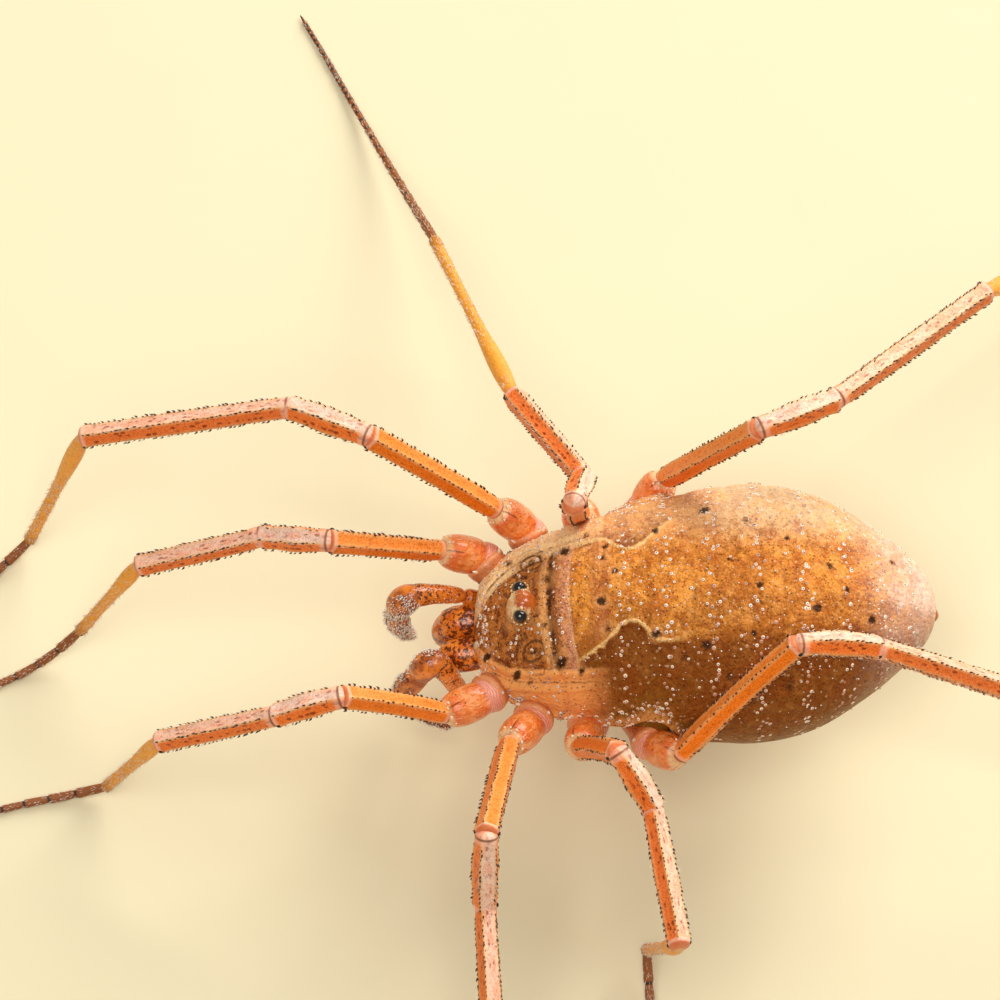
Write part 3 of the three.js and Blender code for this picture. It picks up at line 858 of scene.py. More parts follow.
@effect_group("Fine dots", cell=0.1, size=0.3, share=0.5)
def fine_dots(tree, given):
    """Small round dots in a share of the cells, with edges roughened by noise."""
    scale = tree.math("DIVIDE", 1.0, given["Cell"])
    cells = tree.cells(given["Vector"], scale)
    chosen = tree.node("ShaderNodeSeparateColor", {0: cells["Color"]}).outputs[0]
    ragged = tree.noise(given["Vector"], tree.product(scale, 4.0), 1.0)
    distance = tree.math("ADD", cells["Distance"], tree.scaled(ragged, 0.3, -0.15))
    dot = tree.band(distance, given["Size"], tree.product(given["Size"], 0.6))
    return tree.product(dot, tree.math("LESS_THAN", chosen, given["Share"]))


@effect_group("Mottle", size=0.2, cover=0.5, softness=0.12)
def mottle(tree, given):
    """Cloudy patches of a given size, from 0 to 1, with sharper or softer edges."""
    cloud = tree.noise(given["Vector"], tree.math("DIVIDE", 1.0, given["Size"]), 3.0, 0.6)
    middle = tree.math("SUBTRACT", 1.0, given["Cover"])
    low, high = (tree.math(way, middle, given["Softness"]) for way in ("SUBTRACT", "ADD"))
    return tree.band(cloud, low, high)


@effect_group("Cuticle grain", "Height", pebble=0.08, grit=0.4)
def leather(tree, given):
    """Height of a fine grained cuticle: pebbles, wrinkles and grit."""
    scale = tree.math("DIVIDE", 1.0, given["Pebble"])
    cells = tree.cells(given["Vector"], scale)["Distance"]
    grit = tree.noise(given["Vector"], tree.product(scale, 2.4), 2.0, 0.65)
    return tree.scaled(grit, given["Grit"], tree.product(cells, cells, -0.8))


@effect_group("Striae", "Height", place=0.0, step=0.05)
def striae(tree, given):
    """Fine parallel lines across a measured place, wavering with noise."""
    waver = tree.product(tree.noise(given["Vector"], 6.0, 2.0), 0.12)
    place = tree.math("DIVIDE", tree.math("ADD", given["Place"], waver), given["Step"])
    return tree.scaled(tree.math("SINE", tree.product(place, TURN)), 0.5, 0.5)


# Materials
def material(name, paint, **constants):
    """A material whose paint function may give its colour, roughness, height and depth."""
    made = bpy.data.materials.new(name)
    made.use_nodes = True
    tree = Tree(made.node_tree)
    surface = made.node_tree.nodes["Principled BSDF"]
    for key, value in constants.items():
        surface.inputs[key.replace("_", " ").title().replace("Ior", "IOR")].default_value = value
    painted = paint(tree, tree.effect(millimetres))
    for key, socket in (("colour", "Base Color"), ("roughness", "Roughness")):
        if key in painted:
            made.node_tree.links.new(painted[key], surface.inputs[socket])
    if "height" in painted:
        inputs = {"Height": painted["height"], "Distance": painted["depth"] * MM, "Strength": 1.0}
        made.node_tree.links.new(tree.node("ShaderNodeBump", inputs).outputs[0], surface.inputs["Normal"])
    return made


class BodyPaint:
    """The colours and the relief of the body's skin. Places along and across it are in millimetres."""

    def __init__(self, tree, place, looks):
        self.tree, self.place, self.looks = tree, place, looks
        self.along, self.across = tree.read("along"), tree.read("across")
        self.below, self.shelf = tree.read("below_rim"), tree.read("shelf")
        self.middle, self.fine = tree.noise(place, 8.0, 4.0, 0.65), tree.noise(place, 30.0, 2.0, 0.7)
        self.off = tree.math("SUBTRACT", self.middle, 0.5)
        edge = tree.product(tree.read("edge"), tree.band(self.along, -0.9, 0.1, 1.0, 0.3))
        self.edge = tree.scaled(self.off, 0.12, edge)
        # The right side, which the key light falls on: masks built from it paint that side paler and weaken
        # dark marks there, as painted light.
        self.right = tree.band(tree.scaled(self.off, 0.6, self.across), -0.5, -1.4)
        # Dark marks fade on the right side and towards the hind end, where the painted light and sheen lie.
        ahead = tree.band(self.along, 2.4, 3.7, 1.0, 0.3)
        self.lively = tree.product(tree.scaled(self.right, -0.45, 1.0), ahead)
        # Pale patches are held back outside the saddle on the left, the side painted as shaded.
        outside = tree.product(tree.band(self.edge, -0.05, 0.1), tree.band(self.across, -0.3, 0.3))
        self.calm = tree.scaled(outside, -0.7, 1.0)
        side = tree.product(tree.band(self.along, -1.5, -2.3), tree.band(self.shelf, -0.02, 0.05))
        self.side_of_head = tree.product(side, tree.band(self.below, 14.0, 6.0))
        self.plain = tree.product(tree.scaled(self.side_of_head, -0.9, 1.0), self.lively)
        self.coat = Coat(tree, tree.mix(tree.band(self.edge, -0.03, 0.1), looks.saddle, looks.rust))

    def span(self, value, *ends):
        """High between the first two ends, which it crosses softly, and the last two."""
        return self.tree.product(*(self.tree.band(value, *pair) for pair in zip(ends[::2], ends[1::2])))

    def ground(self):
        """Olive flanks, belly, and painted light: a right side painted paler as lit by the key light, and a
        hind end painted pale pink as sheen.
        """
        tree, coat = self.tree, self.coat
        flank = tree.scaled(self.off, 20.0, self.below)
        coat.lay(self.looks.olive, tree.band(flank, -34.0, 4.0))
        coat.lay(self.looks.belly, tree.band(flank, 22.0, 60.0))
        # Painted light: the right side laid paler, as lit by the key light.
        pale = tree.mix(tree.band(self.along, -0.8, 0.8), shade(250, 184, 122), shade(250, 222, 178))
        coat.lay(pale, self.right, tree.band(self.along, -1.2, 0.8, 0.9, 1.0), 0.85)
        # Painted sheen: the hind end laid pale pink, as lit by the key light.
        coat.lay(self.looks.rear, tree.band(tree.scaled(self.off, 1.2, self.along), 2.3, 3.7), 0.9)

    def clouds(self):
        """Broad ruddy and pale patches, and painted shade along the left edge of the saddle, the side away
        from the key light.
        """
        tree, coat = self.tree, self.coat
        broad, clouds = tree.noise(self.place, 2.4, 2.0), tree.noise(self.place, 4.2, 3.0, 0.6)
        ruddy = tree.mix(tree.band(self.below, -10.0, 6.0), shade(150, 58, 10), shade(78, 66, 2))
        coat.lay(ruddy, tree.band(broad, 0.46, 0.6), self.lively, 0.4)
        coat.lay(shade(250, 166, 84), tree.band(broad, 0.5, 0.38), self.calm, 0.35)
        coat.lay(shade(182, 74, 28), tree.band(clouds, 0.48, 0.6), self.lively, self.calm, 0.4)
        # Painted shade: the left edge inside the saddle laid darker, away from the key light.
        coat.lay(shade(150, 84, 20), tree.band(self.edge, -0.5, -0.1), tree.band(self.across, 0.0, 0.4), 0.5)
        coat.lay(shade(255, 180, 96), tree.band(clouds, 0.47, 0.38), self.calm, 0.3)

    def head(self):
        """Purple-brown head shield with pale sides and an oval scar on each side."""
        tree, coat, along = self.tree, self.coat, self.along
        shield = tree.product(tree.band(along, -2.45, -2.7), tree.band(self.shelf, 0.04, -0.04))
        coat.lay(shade(176, 98, 36), shield, 0.7)
        coat.lay(self.looks.purple, shield, tree.band(self.middle, 0.5, 0.56), self.lively, 0.85)
        # The pale sides of the head shield, with painted light: paler on the right, lit by the key light, and
        # more orange on the shaded left.
        left = tree.band(self.across, -0.6, 0.9)
        coat.lay(tree.mix(left, shade(255, 216, 160), shade(255, 170, 98)), self.side_of_head, 0.95)
        coat.lay(shade(126, 50, 12), self.plain, tree.band(self.middle, 0.51, 0.59), 0.35)
        coat.lay(shade(246, 160, 80), tree.band(self.middle, 0.45, 0.36), self.calm, 0.35)
        sideways = tree.scaled(tree.math("ABSOLUTE", self.across), 4.5, -3.7)
        lengthways = tree.scaled(along, 4.0, 12.0)
        reach = tree.math("SQRT", tree.scaled(sideways, sideways, tree.product(lengthways, lengthways)))
        coat.lay(shade(196, 118, 56), tree.band(reach, 1.2, 1.0), 0.5)
        loops = tree.math("SINE", tree.scaled(self.off, 3.0, tree.product(reach, 11.0)))
        coat.lay(shade(70, 34, 14), tree.band(loops, 0.1, 0.8), tree.band(reach, 1.35, 1.1), 0.75)

    def bands(self):
        """The bands and furrows across the back behind the head shield, and the pale rim."""
        tree, coat, along = self.tree, self.coat, self.along
        inside = tree.band(self.shelf, 0.1, 0.0)
        curved = tree.scaled(tree.product(self.across, self.across), -0.1, along)
        coat.lay(shade(250, 180, 112), self.span(curved, -2.92, -2.86, -2.76, -2.8), inside, 0.75)
        grainy = tree.band(self.fine, 0.56, 0.46, 0.3, 1.0)
        coat.lay(shade(236, 168, 146), self.span(curved, -2.72, -2.42, -2.3, -2.42), grainy, inside, 0.7)
        coat.lay(shade(120, 60, 30), self.span(curved, -2.76, -2.7, -2.54, -2.68), inside, 0.55)
        coat.lay(shade(255, 196, 130), tree.band(tree.away(curved, -2.38), 0.03, 0.01), inside, 0.6)
        patchy = tree.product(tree.band(self.middle, 0.58, 0.42, 0.2, 0.8), tree.band(self.edge, 0.0, -0.2))
        coat.lay(shade(164, 88, 62), self.span(along, -2.1, -1.9, -1.6, -1.76), patchy, 0.8)
        rim = tree.product(self.span(self.below, -12.0, -5.0, 6.0, 0.0), tree.band(along, 0.2, -1.2))
        coat.lay(shade(244, 164, 96), rim, 0.6)
        front = self.span(along, -2.3, -2.1, -0.3, -0.9)
        coat.lay(self.looks.edge_line, tree.band(tree.math("ABSOLUTE", self.edge), 0.045, 0.015), front, 0.9)
        # Painted shade: a dark band just outside the pale edge line, on the step down below its ridge.
        coat.lay(shade(110, 40, 10), self.span(self.edge, 0.03, 0.06, 0.16, 0.07), front, 0.45)

    def grain(self):
        """Winding lines, furrow pigment, dark speckle, and pale speckle which is stronger on the right side
        as painted glints of the key light.
        """
        tree, coat, fine = self.tree, self.coat, self.fine
        worms = tree.away(tree.noise(self.place, 6.0, 3.0, 0.5), 0.5)
        coat.lay(shade(96, 40, 14), tree.band(worms, 0.03, 0.012), self.plain, 0.3)
        seam = tree.product(tree.read("pigment"), tree.scaled(self.off, 2.0, 1.0))
        coat.lay(shade(70, 32, 24), tree.band(seam, 0.35, 0.85), 0.85)
        # Pale speckle, partly painted glints: stronger on the right side, where the key light falls.
        pale = tree.scaled(self.right, 0.2, tree.band(self.edge, 0.1, -0.1, 0.03, 0.15))
        coat.lay(shade(92, 36, 10), tree.band(fine, 0.51, 0.6), self.plain, 0.16)
        coat.lay(shade(255, 206, 140), tree.band(fine, 0.46, 0.4), pale)
        dark = tree.effect(fine_dots, vector=self.place, cell=0.062, size=0.29, share=0.5)
        coat.lay(self.looks.pigment, dark, self.lively, 0.75)
        # Light dots, more of them on the right side as painted glints.
        elsewhere = tree.node("ShaderNodeVectorMath", {0: self.place, 1: (7.3, 1.9, 4.1)}).outputs[0]
        light = tree.effect(fine_dots, vector=elsewhere, cell=0.12, size=0.24, share=0.4)
        coat.lay(shade(255, 214, 160), light, tree.scaled(self.right, 0.35, 0.3))

    def folds_and_spots(self):
        """Fine folds of the hind end, coloured with painted shade in their hollows and a painted pale sheen
        on their crests, then the large dark spots. Gives the height of the folds.
        """
        tree, coat = self.tree, self.coat
        wavy = tree.scaled(self.off, 1.2, tree.product(self.along, 5.0))
        folds = tree.noise(tree.vector(tree.product(self.across, 1.3), wavy), 1.6, 3.0, 0.55)
        hind = tree.product(tree.band(self.along, 2.9, 3.5), tree.band(self.along, 3.95, 3.6, 0.3, 1.0))
        # Painted shade and highlight: the folds laid darker where they sink and pale pink where they rise.
        coat.lay(shade(214, 140, 106), hind, tree.band(folds, 0.5, 0.6), 0.4)
        coat.lay(shade(255, 236, 224), hind, tree.band(folds, 0.46, 0.36), 0.45)
        spots = tree.scaled(self.off, 1.1, tree.read("spots"))
        spots = tree.scaled(tree.math("SUBTRACT", self.fine, 0.5), 0.8, spots)
        coat.lay(shade(250, 180, 110), tree.band(spots, -0.7, -0.2), tree.band(self.along, -0.4, -1.0), 0.3)
        coat.lay(shade(96, 44, 22), tree.band(spots, 0.0, 0.3), 0.5)
        coat.lay(self.looks.pigment, tree.band(spots, 0.22, 0.5), 0.9)
        return tree.product(hind, folds)


def body_material(looks):
    def paint(tree, place):
        body = BodyPaint(tree, place, looks)
        body.ground()
        body.clouds()
        body.head()
        body.bands()
        body.grain()
        folds = body.folds_and_spots()
        pebbles = tree.effect(leather, vector=place, pebble=0.07, grit=0.35)
        height = tree.scaled(folds, -3.0, tree.scaled(body.middle, 1.6, pebbles))
        roughness = tree.band(body.fine, 0.35, 0.65, 0.5, 0.3)
        return {"colour": body.coat.colour, "roughness": roughness, "height": height, "depth": 0.022}

    tint = (*shade(255, 205, 150), 1.0)
    return material("Body cuticle", paint, specular_ior_level=0.24, specular_tint=tint)


def horn_material(name, colour, tip, roughness=0.3, switch=(0.4, 0.8), point=None, dulled=0.3):
    """For spikes and granules, whose colour changes from root to tip and a little from one to the next."""
    def paint(tree, place):
        coat = Coat(tree, tree.mix(tree.band(tree.read("tip"), *switch), colour, tip))
        if point:
            coat.lay(point, tree.band(tree.read("tip"), 0.84, 0.9))
        coat.lay(shade(170, 92, 44), tree.band(tree.read("tone"), 0.3, 1.0, 0.0, dulled))
        return {"colour": coat.colour}

    return material(name, paint, roughness=roughness, specular_ior_level=0.5)


def joint_rings(tree, coat, looks):
    """Paints the pale rings at a segment's root and knee, and the dark lines beside them."""
    root, knee = tree.read("from_root"), tree.read("to_knee")
    collar = tree.product(tree.band(root, 0.16, 0.1), 0.45)
    ring = tree.product(tree.band(knee, 0.09, 0.04), 0.55)
    coat.lay(looks.membrane, tree.math("MAXIMUM", collar, ring))
    coat.lay(shade(214, 100, 40), tree.band(knee, 0.02, -0.02), 0.8)
    coat.lay(shade(104, 40, 14), tree.band(root, 0.06, 0.03), tree.band(root, -0.01, 0.01), 0.75)


def limb_place(tree, stretch):
    """A place on the limb for textures, drawn out along it."""
    round_way = (tree.product(tree.read(name), 0.22) for name in ("dorsal", "sideways"))
    return tree.vector(tree.math("DIVIDE", tree.read("from_root"), stretch), *round_way)


def ridged_material(name, colour, lit_top_colour, looks, spot, side_strength, lit_top_strength):
    """Femur, patella and tibia: one face above painted paler as lit by the key light, brown spots and pale
    lines along the ridges.
    """
    def paint(tree, place):
        corner, aside = tree.read("corner"), tree.math("ABSOLUTE", tree.read("sideways"))
        # The face turned to the key light, painted pale as lit.
        lit_top = tree.band(tree.read("dorsal"), 0.76, 0.84)
        cloud, fine = tree.noise(limb_place(tree, 2.0), 7.0, 2.0, 0.6), tree.noise(place, 34.0, 2.0, 0.7)
        coat = Coat(tree, tree.mix(lit_top, colour, lit_top_colour))
        coat.lay(colour, tree.band(cloud, 0.45, 0.6), 0.35)
        spots = tree.effect(fine_dots, vector=limb_place(tree, 1.5), cell=spot, size=0.42, share=0.9)
        middle = tree.product(tree.band(aside, 0.42, 0.2), lit_top_strength)
        strength = tree.node("ShaderNodeMix", {0: lit_top, 2: side_strength, 3: middle}).outputs[0]
        faces = tree.product(tree.band(corner, 0.5, 0.1), tree.band(tree.read("to_knee"), 0.08, 0.25))
        coat.lay(looks.spot, spots, faces, tree.band(cloud, 0.38, 0.5, 0.35, 1.0), strength)
        coat.lay(looks.spot, tree.band(fine, 0.52, 0.6), 0.35)
        coat.lay(shade(255, 190, 130), tree.band(fine, 0.46, 0.36), 0.2)
        coat.lay(shade(255, 206, 138), corner, 0.65)
        joint_rings(tree, coat, looks)
        height = tree.effect(leather, vector=place, pebble=0.05, grit=0.4)
        return {"colour": coat.colour, "height": height, "depth": 0.01}

    tint = (*shade(255, 210, 150), 1.0)
    return material(name, paint, roughness=0.3, specular_ior_level=0.45, specular_tint=tint)


def trochanter_material(looks):
    def paint(tree, place):
        root, aside = tree.read("from_root"), tree.math("ABSOLUTE", tree.read("sideways"))
        fine, cloud = tree.noise(place, 30.0, 2.0, 0.7), tree.noise(limb_place(tree, 1.6), 6.0, 3.0, 0.6)
        coat = Coat(tree, tree.mix(tree.band(cloud, 0.4, 0.62), looks.trochanter, shade(238, 106, 20)))
        coat.lay(shade(255, 170, 120), tree.band(cloud, 0.46, 0.34), 0.5)
        coat.lay(shade(255, 196, 144), tree.band(fine, 0.47, 0.38), 0.35)
        dots = tree.effect(fine_dots, vector=place, cell=0.09, size=0.2, share=0.35)
        coat.lay(shade(80, 26, 10), dots, 0.8)
        coat.lay(shade(250, 160, 130), tree.band(root, 0.1, 0.03), 0.7)
        # The crease is darkened in colour as well as sunk in the bump: painted shade in the crease.
        crease = tree.product(tree.band(aside, 0.05, 0.01), tree.band(tree.read("dorsal"), 0.1, 0.4))
        crease = tree.product(crease, tree.band(root, 0.42, 0.6))
        coat.lay(shade(130, 40, 10), crease, 0.6)
        coat.lay(shade(252, 214, 156), tree.band(tree.read("to_knee"), 0.07, 0.0), 0.7)
        wrinkles = tree.noise(limb_place(tree, 3.0), 22.0, 3.0, 0.6)
        height = tree.scaled(wrinkles, 1.6, tree.product(crease, -1.2))
        return {"colour": coat.colour, "height": tree.scaled(cloud, 3.0, height), "depth": 0.035}

    return material("Trochanter cuticle", paint, roughness=0.3, specular_ior_level=0.6, coat_weight=0.6,
                    coat_roughness=0.07)


def coxa_material():
    def paint(tree, place):
        clouds = tree.effect(mottle, vector=place, size=0.3, cover=0.5, softness=0.3)
        coat = Coat(tree, tree.mix(clouds, shade(214, 108, 52), shade(196, 128, 78)))
        dots = tree.effect(fine_dots, vector=place, cell=0.09, size=0.25, share=0.4)
        coat.lay(shade(120, 56, 24), dots, 0.6)
        coat.lay(shade(238, 156, 100), tree.band(tree.read("to_knee"), 0.2, 0.12), 0.8)
        height = tree.effect(leather, vector=place, pebble=0.07, grit=0.4)
        return {"colour": coat.colour, "height": height, "depth": 0.02}

    return material("Coxa cuticle", paint, roughness=0.36, specular_ior_level=0.5, coat_weight=0.3,
                    coat_roughness=0.1)


def joint_skin_material():
    def paint(tree, place):
        lines = tree.effect(striae, vector=place, place=tree.read("from_root"), step=0.04)
        colour = tree.mix(lines, shade(240, 140, 116), shade(255, 186, 160))
        return {"colour": colour, "height": lines, "depth": 0.008}

    return material("Joint skin", paint, roughness=0.34, specular_ior_level=0.6)


def metatarsus_material(looks):
    def paint(tree, place):
        coat = Coat(tree, tuple(looks.metatarsus))
        grain = tree.effect(mottle, vector=place, size=0.07, cover=0.45, softness=0.15)
        coat.lay(shade(170, 92, 20), grain, 0.3)
        coat.lay(shade(120, 62, 26), tree.band(tree.read("to_knee"), 0.5, 0.02), 0.5)
        coat.lay(shade(232, 176, 120), tree.band(tree.read("from_root"), 0.1, 0.04))
        height = tree.effect(leather, vector=place, pebble=0.035, grit=0.5)
        return {"colour": coat.colour, "height": height, "depth": 0.01}

    return material("Metatarsus cuticle", paint, roughness=0.45, specular_ior_level=0.5)


def tarsus_material(looks):
    def paint(tree, place):
        coat = Coat(tree, tuple(looks.tarsus))
        grain = tree.effect(mottle, vector=place, size=0.05, cover=0.45, softness=0.18)
        coat.lay(shade(140, 84, 48), grain, 0.5)
        coat.lay(shade(34, 18, 14), tree.band(tree.read("ring"), 0.3, 0.8), 0.9)
        height = tree.effect(leather, vector=place, pebble=0.03, grit=0.5)
        return {"colour": coat.colour, "height": height, "depth": 0.008}

    return material("Tarsus cuticle", paint, roughness=0.45, specular_ior_level=0.5)


def netted_material(name, colour, dark, size, reach, roughness=0.25):
    """Glossy cuticle with a dark net of spots that thickens over the given reach from the root."""
    def paint(tree, place):
        soft, net = tree.noise(place, 4.0, 2.0), tree.noise(place, 1 / size, 3.0, 0.6)
        coat = Coat(tree, tree.mix(tree.band(soft, 0.4, 0.65), colour, shade(240, 140, 46)))
        covers = (
            tree.band(tree.read("from_root"), 0.0, reach, -0.14, -0.03),
            tree.band(soft, 0.4, 0.6, 0.05, -0.05),
            tree.band(tree.read("dorsal"), -0.4, 0.6, -0.05, 0.03),
        )
        for cover in covers:
            net = tree.math("ADD", net, cover)
        coat.lay(dark, tree.band(net, 0.49, 0.53), 0.85)
        coat.lay(dark, tree.effect(fine_dots, vector=place, cell=0.05, size=0.3, share=0.35), 0.7)
        height = tree.effect(leather, vector=place, pebble=0.06, grit=0.3)
        return {"colour": coat.colour, "height": height, "depth": 0.008}

    return material(name, paint, roughness=roughness, specular_ior_level=0.7)


def mound_material(looks):
    def paint(tree, place):
        soft, fine = tree.noise(place, 5.0, 3.0), tree.noise(place, 30.0, 2.0, 0.7)
        uneven, ragged = (tree.math("SUBTRACT", noise, 0.5) for noise in (soft, fine))
        coat = Coat(tree, tree.mix(tree.band(soft, 0.4, 0.62), looks.mound, shade(190, 84, 14)))
        near_eye = tree.scaled(ragged, 0.3, tree.scaled(uneven, 0.3, tree.read("eye_distance")))
        coat.lay(looks.ring, tree.band(near_eye, 0.1, 0.03), 0.85)
        dots = tree.effect(fine_dots, vector=place, cell=0.07, size=0.22, share=0.5)
        coat.lay(shade(60, 30, 16), dots, tree.band(near_eye, 0.14, 0.1))
        coat.lay(looks.ring, tree.band(tree.scaled(ragged, 1.3, tree.read("front")), 0.3, 0.7), 0.7)
        low = tree.scaled(uneven, 0.3, tree.read("height"))
        coat.lay(shade(226, 164, 100), tree.band(low, 0.14, 0.04), 0.6)
        height = tree.effect(leather, vector=place, pebble=0.06, grit=0.3)
        return {"colour": coat.colour, "height": height, "depth": 0.006}

    return material("Eye mound cuticle", paint, roughness=0.2, specular_ior_level=0.8, coat_weight=0.6,
                    coat_roughness=0.08)


def lens_material(looks):
    return material("Eye lens", lambda tree, place: {}, base_color=(*looks.eye, 1.0), roughness=0.05,
                    specular_ior_level=0.7, coat_weight=0.5, coat_roughness=0.05)


def floor_material(looks):
    def paint(tree, place):
        lighter = tuple(min(1.0, part * 1.04) for part in looks.floor)
        return {"colour": tree.mix(tree.noise(place, 0.3, 3.0), looks.floor, lighter)}

    return material("Floor", paint, roughness=0.7, specular_ior_level=0.3)


# Pieces
class StageOperator(bpy.types.Operator):
    """Sets the floor, the lights and the camera at the photograph's viewing angle"""

    bl_idname = "harvestman.stage"
    bl_label = "Stage"

    def execute(self, context):
        looks = context.scene.harvestman_stage
        shape = bmesh.new()
        bmesh.ops.create_grid(shape, x_segments=2, y_segments=2, size=FLOOR_REACH)
        mesh = bpy.data.meshes.new("floor")
        shape.to_mesh(mesh)
        shape.free()
        mesh.materials.append(floor_material(looks))
        floor = bpy.data.objects.new("floor", mesh)
        context.scene.collection.objects.link(floor)
        world = bpy.data.worlds.new("Studio")
        world.use_nodes = True
        background = world.node_tree.nodes["Background"].inputs
        background["Color"].default_value = SKY
        background["Strength"].default_value = SKY_STRENGTH
        context.scene.world = world
        context.scene.view_settings.view_transform = "Standard"
        for (name, lamp), watts in zip(LAMPS.items(), (looks.key, looks.fill)):
            self.lamp(context, name, watts, *lamp)
        self.camera(context)
        return {"FINISHED"}

    def lamp(self, context, name, watts, way, distance, size, colour):
        light = bpy.data.lights.new(name, "AREA")
        light.energy, light.size, light.color = watts, size, colour
        made = bpy.data.objects.new(name, light)
        way = unit(np.array(way))
        made.location = (at_level((0.0, 0.0, 0.0)) + ANIMAL_ORIGIN) * MM + way * distance
        made.rotation_euler = Vector(way).to_track_quat("Z", "Y").to_euler()
        context.scene.collection.objects.link(made)

    def camera(self, context):
        turn, rise = math.radians(VIEW["azimuth"]), math.radians(VIEW["elevation"])
        back = np.array([math.sin(turn) * math.cos(rise), -math.cos(turn) * math.cos(rise), math.sin(rise)])
        right = np.array([math.cos(turn), math.sin(turn), 0.0])
        up = np.cross(back, right)
        centre = VIEW["frame"] / 2
        across, down = (pixel - centre for pixel in BODY_PIXEL)
        scale = VIEW["pixels_per_mm"]
        aim = np.array([0.0, 0.0, BODY_LEVEL]) - right * across / scale + up * down / scale
        lens = bpy.data.cameras.new("camera")
        lens.sensor_width = SENSOR
        lens.lens = SENSOR * VIEW["distance"] * scale / VIEW["frame"]
        lens.clip_start = 0.005
        made = bpy.data.objects.new("camera", lens)
        made.location = (aim + back * VIEW["distance"] + ANIMAL_ORIGIN) * MM
        made.rotation_euler = Vector(back).to_track_quat("Z", "Y").to_euler()
        context.scene.collection.objects.link(made)
        context.scene.camera = made


class BodyOperator(bpy.types.Operator):
    """Makes the skin of the head shield and abdomen, with its furrows, rim and markings"""

    bl_idname = "harvestman.body"
    bl_label = "Body"

    def execute(self, context):
        skin = body_material(context.scene.harvestman_body)
        finished_piece("body_skin", body_form(), skin, ("prosoma", "abdomen"))
        return {"FINISHED"}


class GranulesOperator(bpy.types.Operator):
    """Scatters the granules, their small spines and the fine pale grains of the back, thinned out on the left
    as painted glints, and makes the hind plate
    """

    bl_idname = "harvestman.granules"
    bl_label = "Granules"

    def execute(self, context):
        looks = context.scene.harvestman_body
        draw = np.random.default_rng(SEED)
        groups = zip(*self.places(draw, looks.loose_granules))
        along, angle, size = (np.concatenate(values) for values in groups)
        turn = turn_at(along)
        clear = np.hypot(body_surface(turn, angle)[:, 0], along - MOUND["along"]) > 0.4
        turn, angle, size = turn[clear], angle[clear], size[clear]
        points, out = body_places(turn, angle, -0.012)
        root_uv, height = skin_uv(turn, angle), looks.granule_height / MM
        # Granules are dulled at random, and more on the left, the side painted as shaded; the whitish collar
        # tips are partly painted highlight.
        dull_and_shade = 1.1 * draw.random(len(points)) ** 1.5 + 0.3 * step(points[:, 0], 0.3, 1.1)
        collars = spikes(9, 5, points, out, BACKWARDS, 0.03 * size**0.5, 0.042 * size**0.5, root_uv,
                         power=0.8, tone=np.clip(dull_and_shade, 0, 1))
        collar = horn_material("Granule collar", shade(226, 140, 74), shade(255, 248, 232), 0.3,
                               (0.3, 0.75), shade(20, 8, 6), 0.7)
        spines = spikes(6, 4, points, out + (0.0, 0.25, 0.0), BACKWARDS, 0.7 * height * size + 0.014,
                        0.01 * size**0.3, root_uv, 0.1, 0.5)
        spine = horn_material("Granule spine", shade(30, 14, 10), shade(24, 12, 10), 0.2, (0.3, 0.6))
        finished_piece("granule_collars", collars, collar)
        self.grains(draw)
        form = spikes(20, 12, [at_level(HIND_PLATE)], (0.0, 1.0, -0.3), (0.0, 0.0, 1.0), 0.15, 0.15,
                      [(0.4, 0.6)], power=0.6)
        plate = horn_material("Hind plate", shade(150, 78, 30), shade(206, 120, 62), 0.35, (0.2, 0.9))
        finished_piece("hind_plate", form, plate)
        finished_piece("granule_spines", spines, spine)
        return {"FINISHED"}

    def places(self, draw, loose):
        """Groups of granules: place along, angle from the midline of the back, and size of each."""
        for row in GRANULE_ROWS:
            half = section_at(turn_at(np.array([row])))[0][0]
            count = int(GRANULES["per_mm_of_row"] * half)
            angle = np.linspace(-1.75, 1.75, count) + draw.normal(0, 0.04, count)
            yield row + draw.normal(0, 0.07, count), angle, draw.uniform(0.7, 1.25, count)
        along, angle = draw.uniform(-3.9, 3.6, loose), draw.uniform(-2.1, 2.1, loose)
        yield along, angle, draw.uniform(0.35, 1.0, loose) ** 1.5
        count = GRANULES["head"]
        along, angle = draw.uniform(-3.97, -2.5, count), draw.uniform(-1.6, 1.6, count)
        yield along, angle, draw.uniform(0.5, 1.1, count)
        count = GRANULES["rim"]
        for side in SIDES_OF_BODY.values():
            along = draw.uniform(-3.9, -0.2, count)
            angle = side * np.radians(rim_at(along) - draw.uniform(1, 14, count))
            yield along, angle, draw.uniform(0.7, 1.3, count) * step(-along, -0.6, 3.0) + 0.5
        count = GRANULES["front"]
        along, angle = draw.uniform(-3.985, -3.8, count), draw.normal(0.05, 0.32, count)
        yield along, angle, draw.uniform(0.9, 1.6, count)

    def grains(self, draw):
        count = GRANULES["grains"]
        along, angle = draw.uniform(-3.9, 3.5, count), draw.uniform(-1.9, 1.9, count)
        clear = np.abs(along - MOUND["along"]) > 0.36
        # Fewer grains on the left, the shaded side: their white is partly painted glints of the key light.
        clear &= draw.random(count) < 1.3 - 0.9 * np.maximum(angle, 0)
        turn, angle = turn_at(along[clear]), angle[clear]
        points, out = body_places(turn, angle, -0.008)
        size = draw.uniform(0.5, 1.2, len(points))
        form = spikes(6, 4, points, out, BACKWARDS, 0.024 * size, 0.015 * size, skin_uv(turn, angle),
                      power=0.6)
        grain = horn_material("Grain", shade(250, 200, 150), shade(255, 253, 246), 0.25, (0.2, 0.5))
        finished_piece("grains", form, grain)


